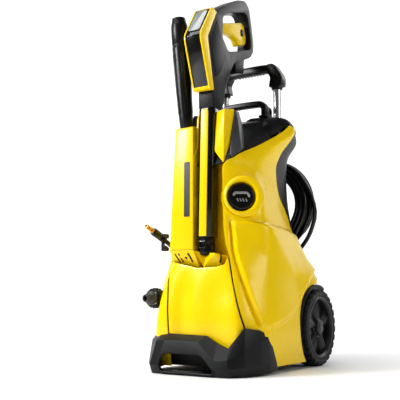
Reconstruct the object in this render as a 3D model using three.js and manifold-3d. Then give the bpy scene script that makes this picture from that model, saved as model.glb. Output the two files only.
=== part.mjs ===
// Upright electric pressure washer on two wheels, with its trigger gun, spray lance and hose stored on it.
// Millimetres. The origin is on the floor under the machine's centre: -Y is the front, +X the right, +Z up.
import * as THREE from "three";
import { mergeVertices } from "three/addons/utils/BufferGeometryUtils.js";
import Module from "manifold-3d";

const wasm = await Module();
wasm.setup();

// ---- Driving dimensions ----
const GAP = 0.4; // between neighbouring pieces
const WALL = 3; // moulded casing
const WHEEL = { radius: 85, y: 122, inner: 106, outer: 150 };
const ARCH = { radius: 97, stripInner: 88.5, inner: 101.5, outer: 141 };
const AXLE_RADIUS = 6;
const TUBE = { x: 70, y: 72, radius: 9.5, bottom: 240, top: 658 }; // telescopic handle
const GRIP = { radius: 11, elbowBottom: 640, z: 686, elbowHalf: 17 };
const COVER_TOP = 560;
const TOWER = { left: -79, split: -29.6, right: 44, bottom: 238, top: 528 };
const KNOB = { at: [72, -113, 360], turn: 0.69, radius: 27.5, collar: 42 };
const COIL = { y: 170, z: 374, outer: 118, inner: 70, half: 20 };
const HOSE_RADIUS = 5;
const GUN = { floor: 239, barrelTop: 555, barrelHalf: 19, bezelHalf: 27, flankHalf: 18 };
const LANCE = { base: [-44.7, -109.5, 303.3], up: [-0.0656, -0.035, 0.9972], length: 470 };
const MOTOR = { y: 5, bottom: 250, top: 370, radius: 52, rotor: 36, shaft: 8 };
const PUMP = { radius: 44, bottom: 84, top: 150, pistonRing: 22, piston: 8 };
const INLET = { x: -117, z: 151, tip: -186 };

// Casing cross-sections, front to rear along the right side: front edge, front corner, flank, rear corner, rear edge.
const SECTIONS = [
  { z: 12, ring: [[90, -172], [126, -112], [138, 20], [138, 132], [104, 138]] },
  { z: 70, ring: [[96, -183], [132, -108], [141, 20], [141, 138], [106, 141]] },
  { z: 120, ring: [[97, -178], [133, -100], [139, 20], [140, 138], [106, 141]] },
  { z: 180, ring: [[84, -166], [127, -92], [131, 20], [139, 138], [106, 142]] },
  { z: 205, ring: [[72, -160], [124, -88], [126, 20], [134, 130], [100, 142]] },
  { z: 240, ring: [[58, -152], [121, -84], [119, 20], [112, 112], [86, 140]] },
  { z: 300, ring: [[50, -150], [118, -80], [112, 20], [88, 86], [72, 136]] },
  { z: 350, ring: [[46, -148], [112, -76], [100, 20], [84, 86], [64, 132]] },
  { z: 390, ring: [[46, -144], [104, -76], [94, 20], [83, 86], [60, 130]] },
  { z: 440, ring: [[58, -138], [96, -84], [90, 20], [83, 86], [60, 126]] },
  { z: 475, ring: [[62, -134], [100, -80], [94, 20], [86, 86], [66, 124]] },
  { z: 507, ring: [[56, -128], [100, -70], [112, 20], [110, 86], [92, 126]] },
  { z: 520, ring: [[50, -110], [90, -64], [116, 20], [110, 84], [90, 124]] },
  { z: 545, ring: [[30, -40], [62, -28], [94, 20], [98, 80], [84, 110]] },
  { z: COVER_TOP, ring: [[20, 4], [48, 8], [70, 20], [86, 76], [70, 98]] },
];

// ---- Materials ----
function paint(color, roughness, metalness) {
  return () => new THREE.MeshStandardMaterial({ color, roughness, metalness });
}
const yellow = paint(0xf7d500, 0.3, 0);
const anthracite = paint(0x2b2c2e, 0.55, 0);
const black = paint(0x141516, 0.5, 0);
const grey = paint(0x505357, 0.5, 0);
const rubber = paint(0x0e0e0f, 0.45, 0);
const aluminium = paint(0xc4c8cc, 0.3, 0.9);
const steel = paint(0x8d9094, 0.35, 0.9);
const brass = paint(0xb98a3a, 0.35, 0.9);
const display = paint(0x9aa09a, 0.2, 0);

// ---- Solid tools ----
function solid(geometry) {
  const bare = geometry.clone();
  bare.deleteAttribute("normal");
  bare.deleteAttribute("uv");
  const merged = mergeVertices(bare, 1e-3);
  const mesh = new wasm.Mesh({
    numProp: 3,
    vertProperties: new Float32Array(merged.attributes.position.array),
    triVerts: new Uint32Array(merged.index.array),
  });
  return new wasm.Manifold(mesh);
}

function geometryOf(made) {
  const mesh = made.getMesh();
  const geometry = new THREE.BufferGeometry();
  geometry.setAttribute("position", new THREE.BufferAttribute(mesh.vertProperties, 3));
  geometry.setIndex(new THREE.BufferAttribute(mesh.triVerts, 1));
  const faceted = geometry.toNonIndexed();
  faceted.computeVertexNormals();
  return faceted;
}

const join = (first, ...others) => others.reduce((sum, other) => sum.add(other), first);
const cut = (first, ...others) => others.reduce((rest, other) => rest.subtract(other), first);
const keep = (first, ...others) => others.reduce((rest, other) => rest.intersect(other), first);

// A closed outline through [u, v] or [u, v, corner radius] points.
function outline(points) {
  const shape = new THREE.Shape();
  points.forEach(([u, v, radius = 0], i) => {
    const corner = new THREE.Vector2(u, v);
    const before = new THREE.Vector2(...points[(i + points.length - 1) % points.length]);
    const after = new THREE.Vector2(...points[(i + 1) % points.length]);
    const start = before.sub(corner).setLength(radius).add(corner);
    const end = after.sub(corner).setLength(radius).add(corner);
    if (i === 0) shape.moveTo(start.x, start.y);
    else shape.lineTo(start.x, start.y);
    if (radius > 0) shape.quadraticCurveTo(u, v, end.x, end.y);
  });
  shape.closePath();
  return shape;
}

function extruded(shape, depth, segments) {
  return new THREE.ExtrudeGeometry(shape, { depth, bevelEnabled: false, curveSegments: segments });
}

// Prisms: the outline is read as (Y, Z), (X, Z) or (X, Y), and the low and high ends are along the third axis.
function prismX(shape, low, high, segments = 2) {
  const turn = new THREE.Matrix4().set(0, 0, 1, low, 1, 0, 0, 0, 0, 1, 0, 0, 0, 0, 0, 1);
  return solid(extruded(shape, high - low, segments).applyMatrix4(turn));
}

function prismY(shape, low, high, segments = 2) {
  const turn = new THREE.Matrix4().set(1, 0, 0, 0, 0, 0, -1, high, 0, 1, 0, 0, 0, 0, 0, 1);
  return solid(extruded(shape, high - low, segments).applyMatrix4(turn));
}

function prismZ(shape, low, high, segments = 2) {
  return solid(extruded(shape, high - low, segments).translate(0, 0, low));
}

function box(x0, x1, y0, y1, z0, z1) {
  const geometry = new THREE.BoxGeometry(x1 - x0, y1 - y0, z1 - z0);
  return solid(geometry.translate((x0 + x1) / 2, (y0 + y1) / 2, (z0 + z1) / 2));
}

// A turned solid: profile of [radius, height] from one end of the axis to the other, set along a direction.
function turned(profile, segments, at = [0, 0, 0], along = [0, 0, 1]) {
  const points = profile.map(([r, h]) => new THREE.Vector2(r, h));
  const geometry = new THREE.LatheGeometry(points, segments).rotateX(Math.PI / 2);
  const aim = new THREE.Quaternion().setFromUnitVectors(
    new THREE.Vector3(0, 0, 1),
    new THREE.Vector3(...along).normalize(),
  );
  return solid(geometry.applyQuaternion(aim).translate(...at));
}

function rod(radius, length, segments, at, along) {
  return turned([[0, 0], [radius, 0], [radius, length], [0, length]], segments, at, along);
}

function pipe(inner, outer, length, segments, at, along) {
  return cut(
    rod(outer, length, segments, at, along),
    rod(inner, length + 4, segments, offset(at, along, -2), along),
  );
}

function offset(at, along, distance) {
  return new THREE.Vector3(...along).setLength(Math.abs(distance))
    .multiplyScalar(Math.sign(distance)).add(new THREE.Vector3(...at)).toArray();
}

// A tube of round section along a smooth curve through points.
function swept(points, radius, steps, sides) {
  const curve = new THREE.CatmullRomCurve3(points.map((p) => new THREE.Vector3(...p)));
  const circle = new THREE.Shape();
  for (let i = 0; i < sides; i++) {
    const angle = (2 * Math.PI * i) / sides;
    const point = [radius * Math.cos(angle), radius * Math.sin(angle)];
    if (i === 0) circle.moveTo(...point);
    else circle.lineTo(...point);
  }
  circle.closePath();
  return solid(new THREE.ExtrudeGeometry(circle, { steps, extrudePath: curve }));
}

// A closed skin through the casing's cross-sections, each drawn in by the same distance.
function casing(inset) {
  const positions = [];
  const rings = SECTIONS.map(({ z, ring }, level) => {
    const lift = level === 0 ? inset : level === SECTIONS.length - 1 ? -inset : 0;
    const right = ring.map(([x, y]) => [x - inset, y - Math.sign(y + 20) * inset, z + lift]);
    const left = right.map(([x, y, height]) => [-x, y, height]).reverse();
    return [...right, ...left].map((point) => positions.push(...point) / 3 - 1);
  });
  const faces = [];
  const count = rings[0].length;
  rings.slice(1).forEach((upper, level) => {
    const lower = rings[level];
    for (let i = 0; i < count; i++) {
      const next = (i + 1) % count;
      faces.push(lower[i], lower[next], upper[next], lower[i], upper[next], upper[i]);
    }
  });
  const top = rings[rings.length - 1];
  for (let i = 1; i < count - 1; i++) {
    faces.push(rings[0][0], rings[0][i + 1], rings[0][i], top[0], top[i], top[i + 1]);
  }
  const geometry = new THREE.BufferGeometry();
  geometry.setAttribute("position", new THREE.Float32BufferAttribute(positions, 3));
  geometry.setIndex(faces);
  return solid(geometry);
}

const mirrored = (points) => [...points, ...points.map(([u, v, r]) => [-u, v, r]).reverse()];

// ---- Assembly ----
const group = new THREE.Group();

function add(name, made, material) {
  const mesh = new THREE.Mesh(geometryOf(made), material());
  mesh.name = name;
  group.add(mesh);
  return made;
}

// ---- Front foot ----
const FOOT_WINDOW = [[-60, 7, 4], [57, 7, 4], [57, 22, 4], [28, 41, 6], [-60, 41, 4]];

function footEnvelope(grow) {
  const plan = mirrored([[84, -207 - grow], [112 + grow, -176 - grow], [135 + grow, -108], [136 + grow, -72 + grow]]);
  const front = mirrored([
    [136 + grow, -2], [136 + grow, 74 + grow], [112, 94 + grow], [82, 54 + grow], [48, 74 + grow],
  ]);
  const side = [[-220, 0], [-120, 0], [-60, 9], [-60, 60], [-109, 82 + grow], [-174, 96 + grow], [-220, 74 + grow]];
  return keep(
    prismZ(outline(plan), -1, 110),
    prismY(outline(front), -220, -60),
    prismX(outline(side), -150, 150),
  );
}

function buildFoot() {
  const hollow = mirrored([[97, -150], [114, -160], [120, -108], [122, -60]]);
  const foot = cut(
    footEnvelope(0),
    prismZ(outline(hollow), -5, 120),
    prismY(outline(FOOT_WINDOW), -230, -140),
  );
  add("front_foot", foot, anthracite);
}

// ---- Casing shells, cut out of one skin ----
const REAR = [
  [80, 534], [75, 520], [42, 440], [50, 385], [78, 345], [100, 300], [120, 250], [128, 205], [128, 4], [400, 4],
  [400, 620], [80, 620],
];
const COVER = [[-220, 448], [80, 534], [80, 620], [-220, 620]];
const PANEL = [[-78, 40], [110, 40], [106, 97], [66, 236], [-78, 236]];

function region(points, grow, make, low, high) {
  const middle = points.reduce((sum, [u, v]) => [sum[0] + u / points.length, sum[1] + v / points.length], [0, 0]);
  const grown = points.map(([u, v]) => [u + Math.sign(u - middle[0]) * grow, v + Math.sign(v - middle[1]) * grow]);
  return make(outline(grown), low, high);
}

const knobAxis = [Math.sin(KNOB.turn), -Math.cos(KNOB.turn), 0];

function buildShells() {
  const skin = cut(casing(0), casing(WALL));
  const bay = box(TOWER.left - GAP, TOWER.right + GAP, -220, -70, TOWER.bottom - 1, 600);
  const pocketBay = box(TOWER.right, 58 + GAP, -220, -88, 430, 600);
  const wells = [-1, 1].map((side) => {
    const from = side > 0 ? ARCH.inner : -160;
    return rod(ARCH.radius, 160 - ARCH.inner, 32, [from, WHEEL.y, WHEEL.radius], [1, 0, 0]);
  });
  const tubes = [-1, 1].map((side) =>
    rod(TUBE.radius + 1, 60, 12, [side * TUBE.x, TUBE.y, 520], [0, 0, 1]));
  const rear = (grow) => region(REAR, grow, prismX, -200, 200);
  const cover = (grow) => region(COVER, grow, prismX, -200, 200);
  const panel = (grow) => region(PANEL, grow, prismY, -220, -110);
  const floor = box(-99, 99, -155, 135, 0, 30);
  const foot = footEnvelope(GAP);
  const shared = cut(skin, ...wells, floor, foot);
  const socket = join(
    rod(13, 140, 20, [INLET.x, -200, INLET.z], [0, 1, 0]),
    rod(22.5, 70, 20, [INLET.x, -208, INLET.z], [0, 1, 0]),
  );
  const collar = rod(KNOB.collar + 1, 60, 28, offset(KNOB.at, knobAxis, -30), knobAxis);
  const sides = cut(shared, rear(GAP), cover(GAP), panel(GAP), bay, pocketBay, socket, collar);
  add("left_side_shell", keep(sides, box(-200, -GAP, -220, 220, 0, 600)), yellow);
  add("right_side_shell", keep(sides, box(GAP, 200, -220, 220, 0, 600)), yellow);
  add("front_panel", cut(keep(shared, panel(0)), bay), yellow);
  add("rear_frame", cut(keep(shared, rear(0)), ...tubes), anthracite);
  const roof = keep(cut(skin, rear(GAP), bay, pocketBay, ...tubes), cover(0));
  add("top_cover", roof, grey);
}

function buildFloor() {
  const walls = [-1, 1].map((side) => box(side > 0 ? 95 : -98, side > 0 ? 98 : -95, 32, 134, 14, 176));
  const axleHole = rod(AXLE_RADIUS + 0.7, 240, 12, [-120, WHEEL.y, WHEEL.radius], [1, 0, 0]);
  const plate = prismZ(outline(mirrored([[98, 134, 4], [98, -148, 12]])), 14, 20);
  add("base_pan", cut(join(plate, ...walls), axleHole), anthracite);
}

// ---- Front tower: lance pocket, gun holder and side pocket ----
const TOWER_SIDE = [[-153, 244], [-138, TOWER.top], [-98, TOWER.top + 10], [-86, 250]];

function buildTower() {
  const bottomCut = prismY(outline([[-90, 200], [60, 200], [60, 252], [0, 218], [-34, 238], [-90, 247]]), -200, 0);
  const along = LANCE.up;
  const wide = rod(17, 90, 16, offset(LANCE.base, along, 172), along);
  const narrow = rod(12.2, 250, 12, offset(LANCE.base, along, -6), along);
  const pocket = keep(
    prismX(outline(TOWER_SIDE), TOWER.left, TOWER.split),
    box(-200, 200, -200, 0, TOWER.bottom, 700),
  );
  add("lance_pocket", cut(pocket, bottomCut, wide, narrow), yellow);

  const from = TOWER.split + GAP;
  const plate = box(from, TOWER.right, -98, -90, 232, 520);
  const lip = prismX(outline([[-142, 236], [-140, 500], [-118, 548], [-92, 548], [-92, 236]]), from, from + 5);
  const ledge = prismY(outline([[from, 252], [from, 238], [0, 218], [TOWER.right, 244], [TOWER.right, 252]]), -139, -92);
  const seat = box(-GUN.barrelHalf - 1.5, GUN.barrelHalf + 1.5, -150, -98, GUN.floor - GAP, 300);
  add("gun_holder", cut(join(plate, lip, ledge), seat), yellow);

  const plan = [[26, -129, 3], [46, -127, 3], [57, -98, 3], [57, -91], [26, -91]];
  const face = [[20, 556], [60, 556], [60, 500], [44.5, 432], [26, 440]];
  const scoop = keep(prismZ(outline(plan), 420, 554), prismY(outline(face), -140, -80));
  add("side_pocket", cut(scoop, prismZ(outline([[30, -124], [44, -122], [52, -97], [30, -97]]), 462, 600),
    box(0, TOWER.right + GAP, -98 - GAP, -80, 400, 520 + GAP)), yellow);
}

// ---- Knob, its collar and the switch behind it ----
function buildKnob() {
  const at = (distance) => offset(KNOB.at, knobAxis, distance);
  const collar = turned(
    [[5, -8], [34, -8], [KNOB.collar, -2], [KNOB.collar, 8], [37, 13], [30.5, 12], [29, -2], [5, -2], [5, -8]],
    24, KNOB.at, knobAxis,
  );
  add("knob_collar", collar, yellow);
  const knob = turned([[0, 0], [26, 0], [KNOB.radius, 3], [KNOB.radius, 12], [23, 16], [0, 17]], 24, KNOB.at, knobAxis);
  const bore = rod(4.3, 8, 16, at(-1), knobAxis);
  const side = [Math.cos(KNOB.turn), Math.sin(KNOB.turn), 0];
  const finger = rod(11, 30, 12, offset(at(21), side, -15), side);
  add("power_knob", cut(knob, bore, finger), black);
  add("knob_spindle", rod(4, 54, 12, at(-48), knobAxis), steel);
  const frame = new THREE.Matrix4().makeRotationZ(KNOB.turn);
  const switchBox = new THREE.BoxGeometry(40, 26, 44).applyMatrix4(frame).translate(...at(-62));
  add("switch_box", solid(switchBox), black);
}

// ---- Telescopic handle and carry handle ----
function buildHandles() {
  for (const [name, side] of [["handle_tube_left", -1], ["handle_tube_right", 1]]) {
    const at = [side * TUBE.x, TUBE.y, TUBE.bottom];
    add(name, pipe(TUBE.radius - 1.5, TUBE.radius, TUBE.top - TUBE.bottom, 16, at, [0, 0, 1]), aluminium);
  }
  const half = [[TUBE.x + 2, 642], [TUBE.x, 668], [TUBE.x - 12, 683], [TUBE.x - 36, GRIP.z]];
  const path = [...half, ...half.map(([x, z]) => [-x, z]).reverse()].map(([x, z]) => [x, TUBE.y, z]);
  const elbows = [-1, 1].map((side) => prismY(outline([
    [side * 54, GRIP.elbowBottom, 3], [side * 88, GRIP.elbowBottom, 5], [side * 89, 664, 12], [side * 64, 697, 8],
    [side * 50, 696, 4],
  ]), TUBE.y - GRIP.radius, TUBE.y + GRIP.radius + 2));
  const sockets = [-1, 1].map((side) =>
    rod(TUBE.radius + 0.7, 40, 16, [side * TUBE.x, TUBE.y, TUBE.top + GAP - 40], [0, 0, 1]));
  add("handle_grip", cut(join(swept(path, GRIP.radius, 20, 10), ...elbows), ...sockets), black);

  const bar = outline([[-54, 590, 5], [-42, 599, 4], [52, 599, 5], [61, 589, 4], [56, 580, 4], [-30, 580, 4],
    [-36, COVER_TOP + GAP], [-58, COVER_TOP + GAP]]);
  const foot = box(38, 56, 22, 40, COVER_TOP + GAP, 586);
  add("carry_handle", join(prismY(bar, 19, 41), foot), black);
  const eye = outline([[52, COVER_TOP + GAP], [52, 592, 10], [74, 592, 10], [74, COVER_TOP + GAP]]);
  add("eye_bracket", cut(prismX(eye, 44, 56), rod(6, 20, 20, [40, 63, 580], [1, 0, 0])), black);
}

// ---- Wheels ----
function buildWheels() {
  add("axle", rod(AXLE_RADIUS, 2 * 146, 12, [-146, WHEEL.y, WHEEL.radius], [1, 0, 0]), steel);
  for (const [side, sign] of [["left", -1], ["right", 1]]) {
    const at = [sign * WHEEL.inner, WHEEL.y, WHEEL.radius];
    const along = [sign, 0, 0];
    const width = WHEEL.outer - WHEEL.inner;
    const tread = [[69, 0], [80, 0], [WHEEL.radius, 5], [WHEEL.radius, width - 7], [78, width - 1], [69, width - 1],
      [69, 0]];
    add(side + "_tyre", turned(tread, 32, at, along), rubber);
    const disc = [[AXLE_RADIUS + 0.5, 2], [16, 2], [16, 14], [62, 14], [62, 3], [68.6, 3], [68.6, width - 3],
      [62, width - 5], [58, width - 14], [22, width - 12], [22, width - 5.5], [AXLE_RADIUS + 0.5, width - 5.5],
      [AXLE_RADIUS + 0.5, 2]];
    add(side + "_rim", turned(disc, 24, at, along), black);
    const cap = rod(21, 4.6, 20, offset(at, along, width - 5), along);
    const pocket = rod(AXLE_RADIUS + 0.7, 3, 12, offset(at, along, width - 6), along);
    add(side + "_hub_cap", cut(cap, pocket), black);
    const strip = new THREE.Shape();
    strip.absarc(0, 0, ARCH.radius - 1.2, 1.15, 3.72, false);
    strip.absarc(0, 0, ARCH.stripInner, 3.72, 1.15, true);
    const low = sign > 0 ? ARCH.inner + GAP : -ARCH.outer;
    const wrap = prismX(strip, low, low + ARCH.outer - ARCH.inner - GAP, 10).translate([0, WHEEL.y, WHEEL.radius]);
    add(side + "_fender_strip", wrap, anthracite);
  }
}

// ---- Water inlet, hose outlet, hook, and the hose ----
function buildInlet() {
  const at = (y) => [INLET.x, y, INLET.z];
  const back = [0, 1, 0];
  const elbow = join(rod(12, 78, 16, at(-138), back), rod(12, 72, 16, [INLET.x, -60, INLET.z], [1, 0, 0]));
  add("inlet_socket", cut(elbow, rod(7, 40, 12, at(-139), back)), black);
  add("inlet_nut", cut(rod(21, 22, 8, at(-161), back), rod(15, 30, 16, at(-165), back)), black);
  const spout = [[5, 0], [8.5, 0], [8.5, 12], [10, 14], [14.5, 16], [14.5, 25], [9, 25], [9, 46], [5, 46], [5, 0]];
  add("inlet_coupling", turned(spout, 16, at(INLET.tip), back), steel);
  add("cable_gland", turned([[4, 0], [14, 0], [14, 4], [9, 6], [8, 22], [4, 22], [4, 0]], 16,
    [-50, 142.6, 110], back), black);
}

function onRing(angle, radius, y) {
  return [radius * Math.cos(angle), y, COIL.z + radius * Math.sin(angle)];
}

// Hose from the outlet up to the coil: an arc that closes in on the coil's outer face.
function leadPath() {
  const points = [];
  for (let i = 0; i <= 8; i++) {
    const part = i / 8;
    points.push(onRing(-1.46 + 1.0 * part, 142 - 18.4 * part, COIL.y));
  }
  return points;
}

const TAIL_PATH = [
  onRing(2.1, 123.6, COIL.y), onRing(2.5, 127, COIL.y), onRing(2.85, 132, COIL.y - 4),
  [-134, 155, 368], [-134, 128, 328], [-132, 84, 293], [-131, 40, 271], [-130, -10, 260], [-128, -60, 262],
  [-122, -112.7, 279.5],
];
const HOSE_END = { at: [-122, -114, 280], along: [0, -0.936, 0.351] };

function buildHose() {
  const hook = join(
    box(-16, 16, 137, 198, 430, 441.6),
    box(-16, 16, 193, 198, 430, 474),
    box(-34, 34, 137, 141, 396, 470),
  );
  const clearSkin = casing(-GAP);
  add("hose_hook", cut(hook, clearSkin), black);
  const body = join(
    rod(11, 29, 16, [-6, 143, 233], [0, 1, 0]),
    rod(9.5, 26, 16, [-12, COIL.y, 232.4], [1, 0, 0.02]),
  );
  add("hose_outlet", body, black);
  add("hose_lead", swept(leadPath(), HOSE_RADIUS, 10, 8), rubber);
  const { y, z, outer, inner, half } = COIL;
  const ring = [[inner, -half + 8], [inner + 8, -half], [outer - 8, -half], [outer, -half + 8], [outer, half - 8],
    [outer - 8, half], [inner + 8, half], [inner, half - 8], [inner, -half + 8]];
  add("hose_coil", turned(ring, 32, [0, y, z], [0, 1, 0]), rubber);
  add("hose_tail", swept(TAIL_PATH, HOSE_RADIUS, 26, 8), rubber);
  add("hose_sleeve", turned([[0, 0], [7, 0], [8.5, 3], [8.5, 38], [7, 42], [0, 42]], 14, HOSE_END.at, HOSE_END.along),
    black);
  add("hose_nipple", turned([[0, 0], [5, 0], [5, 8], [3.6, 9], [3.6, 13], [4.75, 14], [4.75, 25], [0, 26]], 12,
    offset(HOSE_END.at, HOSE_END.along, 42.4), HOSE_END.along), brass);
  const clip = cut(box(-133, -120.6, -106, -94, 254, 292), box(-134, -116, -130, -70, 262, 284));
  add("hose_clip", cut(join(clip, box(-136, -132, -106, -94, 254, 292)), clearSkin), black);
}

// ---- Trigger gun ----
function buildGun() {
  const half = GUN.flankHalf;
  const loop = outline([[-98.6, 790, 2], [-160.2, 690.4], [-128.6, 598], [-132, 556], [-98, 556], [-84, 575, 6],
    [-82, 612, 8], [-33, 686, 3], [-31, 651, 3], [4, 661, 3], [7, 699, 3], [45, 714, 8], [56, 737, 6], [57, 825, 8],
    [48, 842, 6], [26, 846, 8], [-1, 833, 6], [-60, 808, 8]]);
  const finger = outline([[-90, 757, 4], [-64, 695, 6], [-25, 708, 4], [38, 733, 8], [38, 806, 10], [22, 816, 6],
    [-44, 790, 4]]);
  add("gun_body", cut(prismX(loop, -half, half), prismX(finger, -half - 1, half + 1)), grey);

  const bezel = outline([[-131, 804, 8], [-181, 700, 6], [-149, 595, 8], [-129.4, 597.6, 2], [-161, 690.2],
    [-99.6, 790.4, 2]]);
  const upper = tilted(34, 82, 5.4, [-156, 752], [-50, -104]);
  const lower = tilted(34, 78, 5.4, [-165, 648], [32, -105]);
  add("gun_bezel", cut(prismX(bezel, -GUN.bezelHalf, GUN.bezelHalf), upper, lower), yellow);
  add("gun_display", tilted(33.2, 81.2, 4.4, [-155.6, 751.8], [-50, -104]), display);
  add("gun_panel", tilted(33.2, 77.2, 4.4, [-164.4, 648.2], [32, -105]), black);

  const lever = outline([[-76, 764, 4], [12, 797, 6], [32, 800, 6], [35, 756, 8], [-4, 733, 5], [-12, 741, 4],
    [-20, 766, 6], [-74, 752, 4]]);
  const slot = box(-20, 20, 8, 20, 758, 774);
  add("gun_trigger", cut(prismX(lever, -9, 9), slot), yellow);
  add("gun_trigger_lock", box(-11, 11, 8.4, 19.6, 758.4, 773.6), black);

  const barrel = prismZ(outline([[-19, -130, 6], [-8, -137, 2], [8, -137, 2], [19, -130, 6], [19, -101, 8],
    [-19, -101, 8]]), 277, GUN.barrelTop);
  const groove = prismY(outline([[-9.4, 279], [9.4, 279], [9.4, 553.5, 8], [-9.4, 553.5, 8]]), -140, -133);
  add("gun_barrel", cut(barrel, groove), grey);
  add("gun_stripe", prismY(outline([[-9, 279.4], [9, 279.4], [9, 553, 8], [-9, 553, 8]]), -138.5, -133.4), yellow);
  const bayonet = turned([[0, GUN.floor], [14, GUN.floor], [16, GUN.floor + 3], [16, 262], [18, 264], [18, 276.6],
    [0, 276.6]], 16, [0, -119, 0]);
  add("gun_bayonet", cut(bayonet, rod(9, 20, 12, [0, -119, GUN.floor - 2], [0, 0, 1]),
    box(-5, 5, -140, -130, 246, 258)), black);
}

// A slab lying in the gun's front face: width along X, length along a (Y, Z) direction, and thickness.
function tilted(width, length, thickness, centre, direction) {
  const lean = Math.atan2(direction[0], -direction[1]);
  const geometry = new THREE.BoxGeometry(width, thickness * 2, length).rotateX(lean);
  return solid(geometry.translate(0, ...centre));
}

// ---- Spray lance, stored head up ----
function buildLance() {
  const at = (distance) => offset(LANCE.base, LANCE.up, distance);
  const head = [[0, 180], [9, 180], [13, 205], [15.2, 240], [17.6, 300], [19, 400], [18.6, 452], [15, LANCE.length],
    [0, LANCE.length]];
  const bore = rod(5.6, 34, 12, at(178), LANCE.up);
  add("lance_head", cut(turned(head, 18, LANCE.base, LANCE.up), bore), black);
  add("lance_tube", rod(5, 180, 12, at(30), LANCE.up), aluminium);
  const collar = turned([[0, 0], [8, 0], [8, 14], [11, 16], [11, 52], [8, 58], [0, 58]], 16, LANCE.base, LANCE.up);
  add("lance_collar", cut(collar, rod(5.6, 31, 12, at(29.6), LANCE.up)), black);
}

// ---- Motor and pump ----
function buildPowertrain() {
  const up = [0, 0, 1];
  const at = (z) => [0, MOTOR.y, z];
  const height = MOTOR.top - MOTOR.bottom;
  add("motor_stator", pipe(MOTOR.rotor + 1, MOTOR.radius, height, 20, at(MOTOR.bottom), up), aluminium);
  const rotor = turned([[0, 196], [MOTOR.shaft, 196], [MOTOR.shaft, 262], [MOTOR.rotor, 262], [MOTOR.rotor, 358],
    [MOTOR.shaft, 358], [MOTOR.shaft, 386], [0, 386]], 16, [0, MOTOR.y, 0]);
  add("motor_rotor", rotor, steel);
  const plate = cut(
    pipe(MOTOR.shaft + 0.6, 34, 30, 16, at(206), up),
    solid(new THREE.BoxGeometry(120, 120, 20).rotateX(0.22).translate(0, MOTOR.y, 203)),
  );
  add("wobble_plate", plate, steel);
  const bores = [];
  for (let i = 0; i < 3; i++) {
    const angle = Math.PI / 2 + (i * 2 * Math.PI) / 3;
    const x = PUMP.pistonRing * Math.cos(angle);
    const y = MOTOR.y + PUMP.pistonRing * Math.sin(angle);
    bores.push(rod(PUMP.piston + 0.6, 60, 12, [x, y, PUMP.top - 50], up));
    add("pump_piston_" + (i + 1), rod(PUMP.piston, 90, 12, [x, y, 112], up), steel);
  }
  add("pump_head", cut(rod(PUMP.radius, PUMP.top - PUMP.bottom, 16, at(PUMP.bottom), up), ...bores), aluminium);
  add("start_capacitor", turned([[0, 0], [18, 0], [20, 3], [20, 66], [18, 70], [0, 70]], 12, [-58, -52, 290]), grey);
}

buildFloor();
buildFoot();
buildShells();
buildTower();
buildKnob();
buildHandles();
buildWheels();
buildInlet();
buildHose();
buildGun();
buildLance();
buildPowertrain();

export default group;
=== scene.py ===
"""Finished look of an upright electric pressure washer, built round its fixed frame."""
import logging
import math
from dataclasses import dataclass, field
from enum import Enum
from typing import Callable, List, Optional, Sequence, Tuple

import bmesh
import bpy
from mathutils import Matrix, Quaternion, Vector


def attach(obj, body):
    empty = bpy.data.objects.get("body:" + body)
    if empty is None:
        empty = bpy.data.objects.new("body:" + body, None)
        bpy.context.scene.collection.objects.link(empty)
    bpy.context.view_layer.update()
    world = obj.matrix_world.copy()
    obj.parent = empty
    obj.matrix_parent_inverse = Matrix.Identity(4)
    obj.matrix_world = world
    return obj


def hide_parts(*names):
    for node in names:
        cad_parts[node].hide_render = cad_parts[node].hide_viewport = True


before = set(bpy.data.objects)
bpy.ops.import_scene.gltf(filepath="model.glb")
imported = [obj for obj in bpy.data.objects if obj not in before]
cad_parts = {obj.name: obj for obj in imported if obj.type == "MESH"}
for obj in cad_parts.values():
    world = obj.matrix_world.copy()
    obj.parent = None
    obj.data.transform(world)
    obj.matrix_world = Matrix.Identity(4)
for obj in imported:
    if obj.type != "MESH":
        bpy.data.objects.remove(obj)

LOG = logging.getLogger("pressure_washer")
MM = 0.001
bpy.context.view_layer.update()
Point = Tuple[float, float, float]
Pair = Tuple[float, float]
UP: Point = (0.0, 0.0, 1.0)
COLLAR_ASIDE = 5.0


class Axis(Enum):
    """The axis that a prism's outline is pushed along."""

    X = 0
    Y = 1
    Z = 2


# ---------------------------------------------------------------- mesh tools, in millimetres


def mesh_object(name: str, points: Sequence[Sequence[float]],
                faces: Sequence[Sequence[int]]) -> bpy.types.Object:
    """Make a mesh object from millimetre points.

    Args:
        name: the piece's name.
        points: its points in millimetres.
        faces: the corners of each face.

    Returns:
        The linked object, with its faces turned outwards.
    """
    mesh = bpy.data.meshes.new(name)
    mesh.from_pydata([Vector(p) * MM for p in points], [], [list(f) for f in faces])
    mesh.validate()
    piece = bpy.data.objects.new(name, mesh)
    bpy.context.scene.collection.objects.link(piece)
    tidy_mesh(piece)
    return piece


def tidy_mesh(piece: bpy.types.Object, merge: float = 1e-6) -> None:
    """Merge doubled points and turn every face outwards.

    Args:
        piece: the object to clean.
        merge: merging distance in metres.
    """
    work = bmesh.new()
    work.from_mesh(piece.data)
    bmesh.ops.remove_doubles(work, verts=work.verts, dist=merge)
    bmesh.ops.dissolve_degenerate(work, edges=work.edges, dist=merge)
    bmesh.ops.recalc_face_normals(work, faces=work.faces)
    work.to_mesh(piece.data)
    work.free()


def smooth(piece: bpy.types.Object, angle: float = 35.0) -> None:
    """Shade smooth, with edges over an angle in degrees kept sharp.

    Args:
        piece: the object to shade.
        angle: the sharp edge limit.
    """
    piece.data.shade_smooth()
    piece.data.set_sharp_from_angle(angle=math.radians(angle))


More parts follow.
